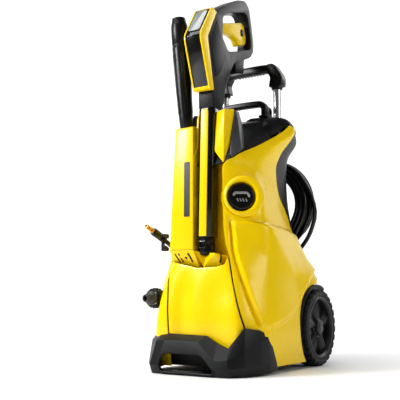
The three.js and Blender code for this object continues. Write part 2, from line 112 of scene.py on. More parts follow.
def bake(piece: bpy.types.Object) -> bpy.types.Object:
    """Replace a piece's mesh by what its modifiers make of it.

    Args:
        piece: the object to bake.

    Returns:
        The same object, with no modifiers.
    """
    graph = bpy.context.evaluated_depsgraph_get()
    graph.update()
    made = bpy.data.meshes.new_from_object(piece.evaluated_get(graph))
    old = piece.data
    piece.modifiers.clear()
    piece.data = made
    bpy.data.meshes.remove(old)
    return piece


def combine(piece: bpy.types.Object, other: bpy.types.Object, operation: str) -> bpy.types.Object:
    """Join or cut two solids.

    Args:
        piece: the solid that is kept.
        other: the solid that is used up.
        operation: UNION, DIFFERENCE or INTERSECT.

    Returns:
        The kept object.
    """
    change = piece.modifiers.new("combine", "BOOLEAN")
    change.operation = operation
    change.solver = "EXACT"
    change.object = other
    bake(piece)
    bpy.data.objects.remove(other)
    return piece


def cut(piece: bpy.types.Object, *others: bpy.types.Object) -> bpy.types.Object:
    """Cut other solids out of a piece."""
    for other in others:
        combine(piece, other, "DIFFERENCE")
    return piece


def merge(name: str, parts: Sequence[bpy.types.Object]) -> bpy.types.Object:
    """Put several meshes into one object without welding them.

    Args:
        name: the new piece's name.
        parts: the objects, which are used up.

    Returns:
        The new object, with each part's materials.
    """
    work = bmesh.new()
    slots: List[bpy.types.Material] = []
    for part in parts:
        bake(part)
        offset = {i: _slot_index(slots, m) for i, m in enumerate(part.data.materials)}
        start = len(work.faces)
        work.from_mesh(part.data)
        work.faces.ensure_lookup_table()
        for face in work.faces[start:]:
            face.material_index = offset.get(face.material_index, 0)
    mesh = bpy.data.meshes.new(name)
    work.to_mesh(mesh)
    work.free()
    for material in slots:
        mesh.materials.append(material)
    for part in parts:
        bpy.data.objects.remove(part)
    piece = bpy.data.objects.new(name, mesh)
    bpy.context.scene.collection.objects.link(piece)
    return piece


def _slot_index(slots: List[bpy.types.Material], material: bpy.types.Material) -> int:
    """Find or add a material in a list.

    Args:
        slots: the list.
        material: the material to find.

    Returns:
        Its place in the list.
    """
    if material not in slots:
        slots.append(material)
    return slots.index(material)


def bevel(piece: bpy.types.Object, width: float, segments: int = 3, angle: float = 30.0) -> bpy.types.Object:
    """Round a piece's edges.

    Args:
        piece: the object.
        width: the rounding in millimetres.
        segments: facets across each edge.
        angle: the sharpest angle in degrees that stays unrounded.

    Returns:
        The same object, baked and shaded.
    """
    change = piece.modifiers.new("bevel", "BEVEL")
    change.width = width * MM
    change.segments = segments
    change.limit_method = "ANGLE"
    change.angle_limit = math.radians(angle)
    change.harden_normals = False
    change.use_clamp_overlap = True
    bake(piece)
    smooth(piece, 40)
    return piece


def rounded(points: Sequence[Sequence[float]], steps: int = 6) -> List[Pair]:
    """Round the corners of a closed outline.

    Args:
        points: (u, v) or (u, v, corner radius).
        steps: points in each rounded corner.

    Returns:
        The outline as plain pairs.
    """
    made: List[Pair] = []
    count = len(points)
    for i, point in enumerate(points):
        corner = Vector(point[:2])
        reach = [(Vector(points[k][:2]) - corner).length for k in (i - 1, (i + 1) % count)]
        radius = min(point[2] if len(point) > 2 else 0.0, 0.48 * min(reach))
        if radius <= 0:
            made.append((corner.x, corner.y))
            continue
        before = (Vector(points[i - 1][:2]) - corner).normalized() * radius + corner
        after = (Vector(points[(i + 1) % count][:2]) - corner).normalized() * radius + corner
        for k in range(steps + 1):
            t = k / steps
            spot = before * (1 - t) ** 2 + corner * (2 * t * (1 - t)) + after * t ** 2
            made.append((spot.x, spot.y))
    return made


def place(axis: Axis, pair: Pair, depth: float) -> Point:
    """Put an outline's pair at a depth along an axis.

    Args:
        axis: the axis of the depth.
        pair: (Y, Z), (X, Z) or (X, Y).
        depth: the distance along the axis.

    Returns:
        The point.
    """
    if axis is Axis.X:
        return (depth, pair[0], pair[1])
    if axis is Axis.Y:
        return (pair[0], depth, pair[1])
    return (pair[0], pair[1], depth)


def prism(name: str, outline: Sequence[Pair], low: float, high: float, axis: Axis) -> bpy.types.Object:
    """Make a solid from a closed outline.

    Args:
        name: the piece's name.
        outline: its pairs in order.
        low: the first end.
        high: the second end.
        axis: the axis between the ends.

    Returns:
        The closed object.
    """
    count = len(outline)
    points = [place(axis, p, low) for p in outline] + [place(axis, p, high) for p in outline]
    faces = [[i, (i + 1) % count, count + (i + 1) % count, count + i] for i in range(count)]
    faces += [list(range(count)), list(range(count, 2 * count))]
    return mesh_object(name, points, faces)


def hull(name: str, points: Sequence[Point]) -> bpy.types.Object:
    """Make the smallest convex solid round some points."""
    work = bmesh.new()
    for point in points:
        work.verts.new(Vector(point) * MM)
    made = bmesh.ops.convex_hull(work, input=work.verts)
    unused = [v for v in made["geom_interior"] + made["geom_unused"] if isinstance(v, bmesh.types.BMVert)]
    bmesh.ops.delete(work, geom=unused, context="VERTS")
    bmesh.ops.dissolve_limit(work, angle_limit=0.02, verts=work.verts, edges=work.edges)
    mesh = bpy.data.meshes.new(name)
    work.to_mesh(mesh)
    work.free()
    piece = bpy.data.objects.new(name, mesh)
    bpy.context.scene.collection.objects.link(piece)
    tidy_mesh(piece)
    return piece


def box(name: str, low: Point, high: Point) -> bpy.types.Object:
    """Make a box between two corners."""
    outline = [(low[0], low[1]), (high[0], low[1]), (high[0], high[1]), (low[0], high[1])]
    return prism(name, outline, low[2], high[2], Axis.Z)


def aim(points: Sequence[Sequence[float]], at: Point, along: Point, twist: float = 0.0) -> List[Vector]:
    """Turn points from the Z axis to a direction and move them.

    Args:
        points: points about the Z axis.
        at: the new origin.
        along: the new Z direction.
        twist: a turn about it, in radians.

    Returns:
        The moved points.
    """
    turn = Vector(UP).rotation_difference(Vector(along).normalized()) @ Quaternion(UP, twist)
    return [turn @ Vector(p) + Vector(at) for p in points]


def lathe(
    name: str, profile: Sequence[Pair], at: Point = (0, 0, 0), along: Point = UP, segments: int = 64,
) -> bpy.types.Object:
    """Turn a profile of (radius, height) about an axis.

    Args:
        name: the piece's name.
        profile: from one end of the axis to the other, or a closed ring.
        at: the axis's origin.
        along: its direction.
        segments: facets round it.

    Returns:
        The closed object.
    """
    points: List[Point] = []
    for step in range(segments):
        angle = 2 * math.pi * step / segments
        points += [(r * math.cos(angle), r * math.sin(angle), h) for r, h in profile]
    size = len(profile)
    faces = []
    for step in range(segments):
        here, there = step * size, (step + 1) % segments * size
        for i in range(size - 1):
            faces.append([here + i, there + i, there + i + 1, here + i + 1])
    piece = mesh_object(name, aim(points, at, along), faces)
    smooth(piece, 40)
    return piece


def arc(centre: Pair, radius: float, start: float, end: float, steps: int = 6) -> List[Pair]:
    """Points on an arc, with angles in degrees."""
    turns = [math.radians(start + (end - start) * i / steps) for i in range(steps + 1)]
    return [(centre[0] + radius * math.cos(a), centre[1] + radius * math.sin(a)) for a in turns]


def rod(name: str, radius: float, length: float, at: Point, along: Point,
        soft: float = 0.6) -> bpy.types.Object:
    """Make a round bar with softened ends."""
    s = min(soft, radius * 0.45)
    ends = [(0, 0), (radius - s, 0), (radius - 0.3 * s, 0.3 * s), (radius, s)]
    return lathe(name, ends + [(r, length - h) for r, h in reversed(ends)], at, along, 40)


def spline(points: Sequence[Sequence[float]], steps: int, closed: bool = False) -> List[Vector]:
    """Run a smooth curve through points.

    Args:
        points: the points that it passes.
        steps: points made in each stretch.
        closed: whether it returns to its start.

    Returns:
        The points along it.
    """
    knots = [Vector(p) for p in points]
    count = len(knots)
    spans = count if closed else count - 1
    made = []
    for i in range(spans):
        b, c = knots[i], knots[(i + 1) % count]
        a = knots[i - 1] if closed or i > 0 else b * 2 - c
        d = knots[(i + 2) % count] if closed or i + 2 < count else c * 2 - b
        for k in range(steps):
            t = k / steps
            made.append(0.5 * ((b * 2) + (c - a) * t + (a * 2 - b * 5 + c * 4 - d) * t * t
                               + (b * 3 - a - c * 3 + d) * t ** 3))
    if not closed:
        made.append(knots[-1])
    return made


def sweep(
    name: str, path: Sequence[Vector], section: Sequence[Pair],
    scale: Optional[Callable[[float], Pair]] = None,
    first: Point = UP,
) -> bpy.types.Object:
    """Carry a section along a path.

    Args:
        name: the piece's name.
        path: the points that it follows.
        section: its closed outline, as (side, first) pairs.
        scale: gives the section's two scales at 0 to 1 along the path.
        first: a direction that the section's second axis keeps near.

    Returns:
        The closed object.
    """
    points: List[Vector] = []
    count, last = len(section), len(path) - 1
    for i, spot in enumerate(path):
        ahead = (path[min(i + 1, last)] - path[max(i - 1, 0)]).normalized()
        side = ahead.cross(Vector(first)).normalized()
        rise = side.cross(ahead).normalized()
        su, sv = scale(i / last) if scale else (1.0, 1.0)
        points += [spot + side * (u * su) + rise * (v * sv) for u, v in section]
    faces = []
    for i in range(last):
        for k in range(count):
            n = (k + 1) % count
            faces.append([i * count + k, i * count + n, (i + 1) * count + n, (i + 1) * count + k])
    faces += [list(range(count)), list(range(last * count, (last + 1) * count))]
    piece = mesh_object(name, points, faces)
    smooth(piece, 40)
    return piece


def circle(radius: float, sides: int) -> List[Pair]:
    """A round section."""
    return arc((0, 0), radius, 0, 360 * (sides - 1) / sides, sides - 1)


Net = Sequence[Sequence[Point]]


def surface(rows: Net, across: int, down: int) -> List[List[Vector]]:
    """Run a smooth surface through a net of points.

    Args:
        rows: the net, row by row.
        across: points in each stretch of a row.
        down: points in each stretch between rows.

    Returns:
        The fine net.
    """
    fine = [spline(row, across) for row in rows]
    columns = [spline([row[i] for row in fine], down) for i in range(len(fine[0]))]
    return [[column[j] for column in columns] for j in range(len(columns[0]))]


def shell(
    name: str, fine: Sequence[Sequence[Vector]], wall: float = 2.6, edge: float = 0.9,
    push: Optional[Callable[[Vector], float]] = None, inward: float = 1.0,
) -> bpy.types.Object:
    """Give a fine net a wall with rounded rims.

    Args:
        name: the piece's name.
        fine: the outer face's points, row by row.
        wall: the wall's thickness.
        edge: the rounding of its rims.
        push: gives how far a point stands out of the plain surface.
        inward: 1 or -1, the side that the wall grows to.

    Returns:
        The closed object.
    """
    rows, columns = len(fine), len(fine[0])
    normals = [[_net_normal(fine, j, i) * inward for i in range(columns)] for j in range(rows)]
    outer = [[fine[j][i] + normals[j][i] * (push(fine[j][i]) if push else 0.0) for i in range(columns)]
             for j in range(rows)]
    normals = [[_net_normal(outer, j, i) * inward for i in range(columns)] for j in range(rows)]
    points = [p for row in outer for p in row]
    points += [p - normals[j][i] * wall for j, row in enumerate(outer) for i, p in enumerate(row)]
    size = rows * columns
    faces = []
    for j in range(rows - 1):
        for i in range(columns - 1):
            a = j * columns + i
            quad = [a, a + 1, a + columns + 1, a + columns]
            faces += [quad, [size + k for k in reversed(quad)]]
    rim = [i for i in range(columns)] + [j * columns + columns - 1 for j in range(1, rows)]
    rim += [(rows - 1) * columns + i for i in range(columns - 2, -1, -1)]
    rim += [j * columns for j in range(rows - 2, 0, -1)]
    for k, a in enumerate(rim):
        b = rim[(k + 1) % len(rim)]
        faces.append([b, a, size + a, size + b])
    piece = mesh_object(name, points, faces)
    if edge > 0:
        bevel(piece, edge, 2, 60)
    smooth(piece, 50)
    return piece


def _net_normal(net: Sequence[Sequence[Vector]], j: int, i: int) -> Vector:
    """The net's normal at a point.

    Args:
        net: the fine net.
        j: the row.
        i: the place in the row.

    Returns:
        A unit direction.
    """
    across = net[j][min(i + 1, len(net[0]) - 1)] - net[j][max(i - 1, 0)]
    down = net[min(j + 1, len(net) - 1)][i] - net[max(j - 1, 0)][i]
    normal = across.cross(down)
    return normal.normalized() if normal.length > 1e-9 else Vector(UP)


def smoothstep(low: float, high: float, value: float) -> float:
    """Rise smoothly from 0 to 1 between two values."""
    t = min(1.0, max(0.0, (value - low) / (high - low)))
    return t * t * (3 - 2 * t)


def mirrored(rows: Net) -> List[List[Point]]:
    """Mirror a net left to right."""
    return [[(-x, y, z) for x, y, z in row] for row in rows]


# ---------------------------------------------------------------- finishes


class ShaderGroups:
    """Shared shader effects, each built once."""

    @staticmethod
    def _start(name: str, inputs: Sequence[Tuple[str, float]], outputs: Sequence[str]) -> bpy.types.NodeTree:
        """Make an empty group with named float sockets.

        Args:
            name: the group's name.
            inputs: input names with their values.
            outputs: output names.

        Returns:
            The new group.
        """
        tree = bpy.data.node_groups.new(name, "ShaderNodeTree")
        for label, value in inputs:
            socket = tree.interface.new_socket(label, in_out="INPUT", socket_type="NodeSocketFloat")
            socket.default_value = value
        for label in outputs:
            tree.interface.new_socket(label, in_out="OUTPUT", socket_type="NodeSocketFloat")
        return tree

    @classmethod
    def grain(cls) -> bpy.types.NodeTree:
        """Fine moulded grain: a height, and a slow blotchy mask.

        Returns:
            The group, with inputs Scale and Blotch and outputs Height and Mask.
        """
        found = bpy.data.node_groups.get("moulded_grain")
        if found:
            return found
        tree = cls._start("moulded_grain", [("Scale", 900.0), ("Blotch", 14.0)], ["Height", "Mask"])
        nodes, links = tree.nodes, tree.links
        source, out = nodes.new("NodeGroupInput"), nodes.new("NodeGroupOutput")
        place_node = nodes.new("ShaderNodeTexCoord")
        fine, slow = nodes.new("ShaderNodeTexVoronoi"), nodes.new("ShaderNodeTexNoise")
        slow.inputs["Detail"].default_value = 5.0
        for texture, label in ((fine, "Scale"), (slow, "Blotch")):
            links.new(place_node.outputs["Object"], texture.inputs["Vector"])
            links.new(source.outputs[label], texture.inputs["Scale"])
        links.new(fine.outputs["Distance"], out.inputs["Height"])
        links.new(slow.outputs["Fac"], out.inputs["Mask"])
        return tree

    @classmethod
    def wear(cls) -> bpy.types.NodeTree:
        """Rubbed edges: a mask where the surface is sharply convex, broken up by noise.

        Returns:
            The group, with inputs Start and End and output Mask.
        """
        found = bpy.data.node_groups.get("edge_wear")
        if found:
            return found
        tree = cls._start("edge_wear", [("Start", 0.53), ("End", 0.62)], ["Mask"])
        nodes, links = tree.nodes, tree.links
        source, out = nodes.new("NodeGroupInput"), nodes.new("NodeGroupOutput")
        shape, where = nodes.new("ShaderNodeNewGeometry"), nodes.new("ShaderNodeTexCoord")
        noise, ramp, times = nodes.new("ShaderNodeTexNoise"), nodes.new("ShaderNodeMapRange"), nodes.new("ShaderNodeMath")
        noise.inputs["Scale"].default_value = 60.0
        times.operation = "MULTIPLY"
        links.new(where.outputs["Object"], noise.inputs["Vector"])
        links.new(shape.outputs["Pointiness"], ramp.inputs["Value"])
        links.new(source.outputs["Start"], ramp.inputs["From Min"])
        links.new(source.outputs["End"], ramp.inputs["From Max"])
        links.new(ramp.outputs["Result"], times.inputs[0])
        links.new(noise.outputs["Fac"], times.inputs[1])
        links.new(times.outputs["Value"], out.inputs["Mask"])
        return tree


@dataclass(frozen=True)
class Finish:
    """A surface finish, with moulded or brushed detail."""

    name: str
    colour: Tuple[float, float, float]
    slot: str
    roughness: float = 0.4
    rough_spread: float = 0.1
    metallic: float = 0.0
    coat: float = 0.0
    coat_roughness: float = 0.06
    grain: float = 900.0
    depth: float = 0.05
    worn: float = 0.12
    shade: float = 0.06
    specular: float = 0.5

    def material(self) -> bpy.types.Material:
        """Build the finish's material, or find it.

        Returns:
            The material.
        """
        found = bpy.data.materials.get(self.name)
        if found:
            return found
        material = bpy.data.materials.new(self.name)
        material.use_nodes = True
        nodes, links = material.node_tree.nodes, material.node_tree.links
        shader = nodes["Principled BSDF"] if "Principled BSDF" in nodes else nodes.new("ShaderNodeBsdfPrincipled")
        shader.inputs["Metallic"].default_value = self.metallic
        shader.inputs["Coat Weight"].default_value = self.coat
        shader.inputs["Coat Roughness"].default_value = self.coat_roughness
        shader.inputs["Specular IOR Level"].default_value = self.specular
        grain, wear = nodes.new("ShaderNodeGroup"), nodes.new("ShaderNodeGroup")
        grain.node_tree, wear.node_tree = ShaderGroups.grain(), ShaderGroups.wear()
        grain.inputs["Scale"].default_value = self.grain
        self._colour(material, shader, grain, wear)
        rough = nodes.new("ShaderNodeMapRange")
        rough.inputs["To Min"].default_value = max(0.02, self.roughness - self.rough_spread)
        rough.inputs["To Max"].default_value = self.roughness + self.rough_spread
        links.new(grain.outputs["Mask"], rough.inputs["Value"])
        links.new(rough.outputs["Result"], shader.inputs["Roughness"])
        bump = nodes.new("ShaderNodeBump")
        bump.inputs["Strength"].default_value = self.depth
        bump.inputs["Distance"].default_value = 0.0004
        links.new(grain.outputs["Height"], bump.inputs["Height"])
        links.new(bump.outputs["Normal"], shader.inputs["Normal"])
        return material

    def _colour(
        self, material: bpy.types.Material, shader: bpy.types.Node, grain: bpy.types.Node,
        wear: bpy.types.Node,
    ) -> None:
        """Mix the base colour with its slow shade and rubbed edges.

        Args:
            material: the material in work.
            shader: its surface shader.
            grain: its grain group.
            wear: its wear group.
        """
        nodes, links = material.node_tree.nodes, material.node_tree.links
        dark = tuple(c * (1 - self.shade) for c in self.colour)
        pale = tuple(min(1.0, c * 1.15 + 0.05) for c in self.colour)
        blotch, edge, share = nodes.new("ShaderNodeMix"), nodes.new("ShaderNodeMix"), nodes.new("ShaderNodeMath")
        for mix in (blotch, edge):
            mix.data_type = "RGBA"
        share.operation = "MULTIPLY"
        share.inputs[1].default_value = self.worn
        blotch.inputs["A"].default_value = (*dark, 1)
        blotch.inputs["B"].default_value = (*self.colour, 1)
        edge.inputs["B"].default_value = (*pale, 1)
        links.new(grain.outputs["Mask"], blotch.inputs["Factor"])
        links.new(wear.outputs["Mask"], share.inputs[0])
        links.new(share.outputs["Value"], edge.inputs["Factor"])
        links.new(blotch.outputs["Result"], edge.inputs["A"])
        links.new(edge.outputs["Result"], shader.inputs["Base Color"])


YELLOW = Finish("gloss_yellow", (0.95, 0.66, 0.0), "yellow_plastic", 0.26, 0.05, coat=0.12, depth=0.012,
                shade=0.03,
                specular=0.32, worn=0.05)
ANTHRACITE = Finish("anthracite", (0.012, 0.0125, 0.0135), "anthracite_plastic", 0.38, 0.08, depth=0.25,
                    worn=0.08,
                    specular=0.26)
GREY = Finish("dark_grey", (0.012, 0.0125, 0.0135), "grey_plastic", 0.34, 0.08, depth=0.2, worn=0.06,
              specular=0.24)
MID_GREY = Finish("mid_grey", (0.06, 0.062, 0.066), "grey_plastic", 0.36, 0.06, depth=0.15)
BLACK = Finish("satin_black", (0.007, 0.007, 0.0075), "black_plastic", 0.33, 0.08, depth=0.15, worn=0.15,
               specular=0.4)
GLOSS_BLACK = Finish("gloss_black", (0.006, 0.006, 0.0065), "panel_gloss", 0.14, 0.04, coat=0.4, depth=0.01)
RIM = Finish("rim_black", (0.016, 0.0165, 0.018), "rim_plastic", 0.38, 0.08, depth=0.2, worn=0.14)
TYRE = Finish("tyre_black", (0.010, 0.010, 0.0105), "tyre_rubber", 0.62, 0.1, depth=0.5, grain=700.0)
HOSE = Finish("hose_black", (0.008, 0.008, 0.0085), "hose_rubber", 0.3, 0.08, coat=0.2, depth=0.1,
              grain=500.0)
ALUMINIUM = Finish("drawn_aluminium", (0.78, 0.79, 0.80), "aluminium", 0.28, 0.08, 1.0, grain=300.0,
                   depth=0.05)
STEEL = Finish("machined_steel", (0.5, 0.51, 0.52), "steel", 0.3, 0.08, 1.0, grain=400.0, depth=0.06)
BRASS = Finish("turned_brass", (0.62, 0.36, 0.09), "brass", 0.28, 0.08, 1.0, grain=400.0, depth=0.05)
SILVER = Finish("silver_print", (0.55, 0.56, 0.57), "steel", 0.3, 0.05, 0.7, depth=0.02)
PALE_LCD = Finish("pale_lcd", (0.33, 0.36, 0.35), "display_window", 0.12, 0.03, coat=0.6, depth=0.0, worn=0.0)
# near-black matte finish: painted shade for the insides of slots and for the dark seen behind the shells' gaps
SHADE_BLACK = Finish("painted_shade_black", (0.004, 0.004, 0.004), "black_plastic", 0.6, 0.05, depth=0.1, worn=0.0)


def dress(
    piece: bpy.types.Object, finish: Finish, body: str, replaces: Sequence[str] = (),
) -> bpy.types.Object:
    """Give a piece its finish, its body and the nodes that it stands for.

    Args:
        piece: the finished mesh.
        finish: its finish.
        body: the body that it rides on.
        replaces: the frame's nodes that it stands for.

    Returns:
        The same object.
    """
    if not piece.data.materials:
        piece.data.materials.append(finish.material())
    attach(piece, body)
    if replaces:
        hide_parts(*replaces)
    LOG.info("%s: %d faces on %s", piece.name, len(piece.data.polygons), body)
    return piece


def paint(piece: bpy.types.Object, finish: Finish) -> bpy.types.Object:
    """Set one finish on a whole mesh."""
    piece.data.materials.clear()
    piece.data.materials.append(finish.material())
    return piece


def dress_node(name: str, finish: Finish) -> None:
    """Give one of the frame's own nodes a finish.

    Args:
        name: the node.
        finish: its finish.
    """
    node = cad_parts[name]
    node.data.materials.clear()
    node.data.materials.append(finish.material())


# ---------------------------------------------------------------- camera, light and floor


@dataclass
class Studio:
    """A plain pale room with one camera and soft lamps, in metres."""

    camera_at: Point = (0.79707, -1.42527, 0.16703)
    view: Point = (-0.52774, 0.84031, 0.12395)
    lens: float = 65.25
    sensor: float = 36.0
    sky_power: float = 1.5
    sky_spread: float = 50.0
    sky_down: Point = (0.25, 0.35, -1.0)
    lamps: Tuple[Tuple[str, Point, float, float], ...] = (
        ("key_lamp", (-1.35, -1.8, 1.35), 0.7, 38.0),
        ("side_lamp", (2.3, 0.1, 1.0), 0.8, 10.0),
        ("back_lamp", (0.9, 2.1, 1.9), 1.2, 10.0),
    )

    def build(self) -> None:
        """Set the camera, the world, the lamps and the floor."""
        scene = bpy.context.scene
        scene.view_settings.view_transform = "Standard"
        scene.view_settings.look = "Medium High Contrast"
        eye = bpy.data.objects.new("camera", bpy.data.cameras.new("camera"))
        eye.location = self.camera_at
        eye.rotation_euler = Vector(self.view).to_track_quat("-Z", "Y").to_euler()
        eye.data.lens = self.lens
        eye.data.sensor_width = self.sensor
        scene.collection.objects.link(eye)
        scene.camera = eye
        self._world()
        for name, spot, size, power in self.lamps:
            lamp = bpy.data.objects.new(name, bpy.data.lights.new(name, "AREA"))
            lamp.data.energy = power
            lamp.data.size = size
            lamp.location = spot
            aim_at = Vector((0, 0, 0.35)) - Vector(spot)
            lamp.rotation_euler = aim_at.to_track_quat("-Z", "Y").to_euler()
            scene.collection.objects.link(lamp)
        sun = bpy.data.objects.new("sky_lamp", bpy.data.lights.new("sky_lamp", "SUN"))
        sun.data.energy = self.sky_power
        sun.data.angle = math.radians(self.sky_spread)
        sun.rotation_euler = Vector(self.sky_down).to_track_quat("-Z", "Y").to_euler()
        scene.collection.objects.link(sun)
        floor = box("floor", (-4000, -4000, -6), (4000, 4000, -0.05))
        paint(floor, Finish("pale_floor", (0.97, 0.97, 0.97), "floor", 0.6, 0.05, depth=0.0, worn=0.0,
                            shade=0.0))
        wall = box("backdrop", (-9000, 5000, -400), (9000, 5010, 5000))
        wall.data.transform(Matrix.Rotation(math.radians(32), 4, "Z"))
        wall.data.materials.append(self._glow())

    @staticmethod
    def _glow() -> bpy.types.Material:
        """The backdrop's even white."""
        material = bpy.data.materials.new("backdrop_white")
        material.use_nodes = True
        nodes, links = material.node_tree.nodes, material.node_tree.links
        nodes.clear()
        glow, out = nodes.new("ShaderNodeEmission"), nodes.new("ShaderNodeOutputMaterial")
        glow.inputs["Strength"].default_value = 1.0
        links.new(glow.outputs["Emission"], out.inputs["Surface"])
        return material

    def _world(self) -> None:
        """Give the world an even white light."""
        world = bpy.data.worlds.new("pale_room")
        world.use_nodes = True
        back = world.node_tree.nodes["Background"]
        back.inputs["Color"].default_value = (1, 1, 1, 1)
        back.inputs["Strength"].default_value = 0.1
        bpy.context.scene.world = world


# ---------------------------------------------------------------- high-pressure hose


@dataclass
class Hose:
    """Six metres of hose: a lead up to the coil, nine turns in three rows, and a tail to its fitting."""

    radius: float = 5.0
    length: float = 6000.0
    coil_y: float = 170.0
    coil_z: float = 374.0
    turns: Tuple[Pair, ...] = (
        (107.2, 159.5), (96.8, 159.5), (86.4, 159.5), (76.0, 159.5), (76.0, 170.0),
        (86.4, 170.0), (96.8, 170.0), (96.8, 180.5), (107.2, 180.5), (107.2, 170.0),
    )
    steps: int = 44
    coil_start: float = -0.46
    coil_end: float = 2.1
    end_at: Point = (-122.0, -114.0, 280.0)
    end_along: Point = (0.0, -0.936, 0.351)

    def on_ring(self, angle: float, radius: float, y: float) -> Point:
        """A point round the coil's axis."""
        return (radius * math.cos(angle), y, self.coil_z + radius * math.sin(angle))

    def lead(self) -> List[Point]:
        """The stretch from the outlet up to the coil."""
        parts = [i / 8 for i in range(9)]
        return [self.on_ring(-1.46 + p, 142 - 18.4 * p, self.coil_y) for p in parts]

    def coil(self) -> List[Point]:
        """The turns, each easing over to the next one's radius and row.

        Returns:
            The points from just after the lead to just before the tail.
        """
        span = 2 * math.pi * 9 + self.coil_end - self.coil_start
        count = int(span / (2 * math.pi) * self.steps)
        made = []
        for i in range(1, count):
            angle = span * i / count
            turn = angle / (2 * math.pi)
            index = min(int(turn), len(self.turns) - 2)
            ease = smoothstep(0.86, 1.0, turn - index) if index < 9 else 0.0
            here = self.turns[min(int(turn), 9)]
            there = self.turns[min(int(turn) + 1, 9)]
            radius = here[0] + (there[0] - here[0]) * ease
            row = here[1] + (there[1] - here[1]) * ease
            outer = max(1 - smoothstep(0.0, 0.16, turn),
                        smoothstep(span / 6.2832 - 0.13, span / 6.2832, turn))
            radius += (123.6 - radius) * outer
            row += (self.coil_y - row) * outer
            made.append(self.on_ring(self.coil_start + angle, radius, row))
        return made

    def tail(self) -> List[Point]:
        """The stretch from the coil round the left side to the fitting."""
        return [
            self.on_ring(2.1, 123.6, 170), self.on_ring(2.5, 127, 170), self.on_ring(2.85, 132, 166),
            (-134, 155, 368), (-134, 128, 328), (-132, 84, 293), (-131, 40, 271), (-130, -10, 260),
            (-128, -60, 262), (-122, -112.7, 279.5),
        ]

    def build(self) -> None:
        """Make the hose, its sleeve and its fitting."""
        path = spline(self.lead(), 3)[:-1] + [Vector(p) for p in [self.lead()[-1]] + self.coil()]
        path += spline(self.tail(), 7)
        curve = bpy.data.curves.new("hose", "CURVE")
        curve.dimensions = "3D"
        curve.bevel_depth = self.radius * MM
        curve.bevel_resolution = 5
        curve.use_fill_caps = True
        line = curve.splines.new("POLY")
        line.points.add(len(path) - 1)
        for knot, spot in zip(line.points, path):
            knot.co = (*(spot * MM), 1.0)
        line.use_smooth = True
        hose = bpy.data.objects.new("hose", curve)
        bpy.context.scene.collection.objects.link(hose)
        curve.materials.append(HOSE.material())
        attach(hose, "chassis")
        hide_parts("hose_lead", "hose_coil", "hose_tail")
        sleeve = dress(self._sleeve(), BLACK, "chassis", ["hose_sleeve"])
        nipple = dress(self._nipple(), BRASS, "chassis", ["hose_nipple"])
        LOG.info("hose of %.2f m", sum((b - a).length for a, b in zip(path, path[1:])) * MM)

    def _sleeve(self) -> bpy.types.Object:
        """The moulded bend sleeve, ringed near its rear end."""
        profile = [(0, 0), (6.6, 0), (7.2, 0.6)]
        for ring in range(4):
            base = 2.0 + ring * 3.2
            profile += [(7.3, base), (8.2, base + 0.5), (8.2, base + 1.6), (7.3, base + 2.1)]
        profile += [(7.6, 15.5), (8.5, 18), (8.5, 38), (8.1, 39.5), (7, 41.9), (0, 41.9)]
        return lathe("hose_sleeve_look", profile, self.end_at, self.end_along, 40)

    def _nipple(self) -> bpy.types.Object:
        """The turned fitting with its seal groove."""
        start = Vector(self.end_at) + Vector(self.end_along) * 42.4
        profile = [(0, 0), (5, 0), (5, 7.4), (4.6, 8), (3.6, 8.4), (3.6, 13), (4.4, 13.4), (4.75, 14),
                   (4.75, 17),
                   (4.1, 17.4), (4.1, 19.4), (4.75, 19.8), (4.75, 24.6), (4.2, 25.6), (2.6, 25.9), (2.6, 22),
                   (0, 22)]
        return lathe("hose_nipple_look", profile, tuple(start), self.end_along, 40)


# ---------------------------------------------------------------- casing


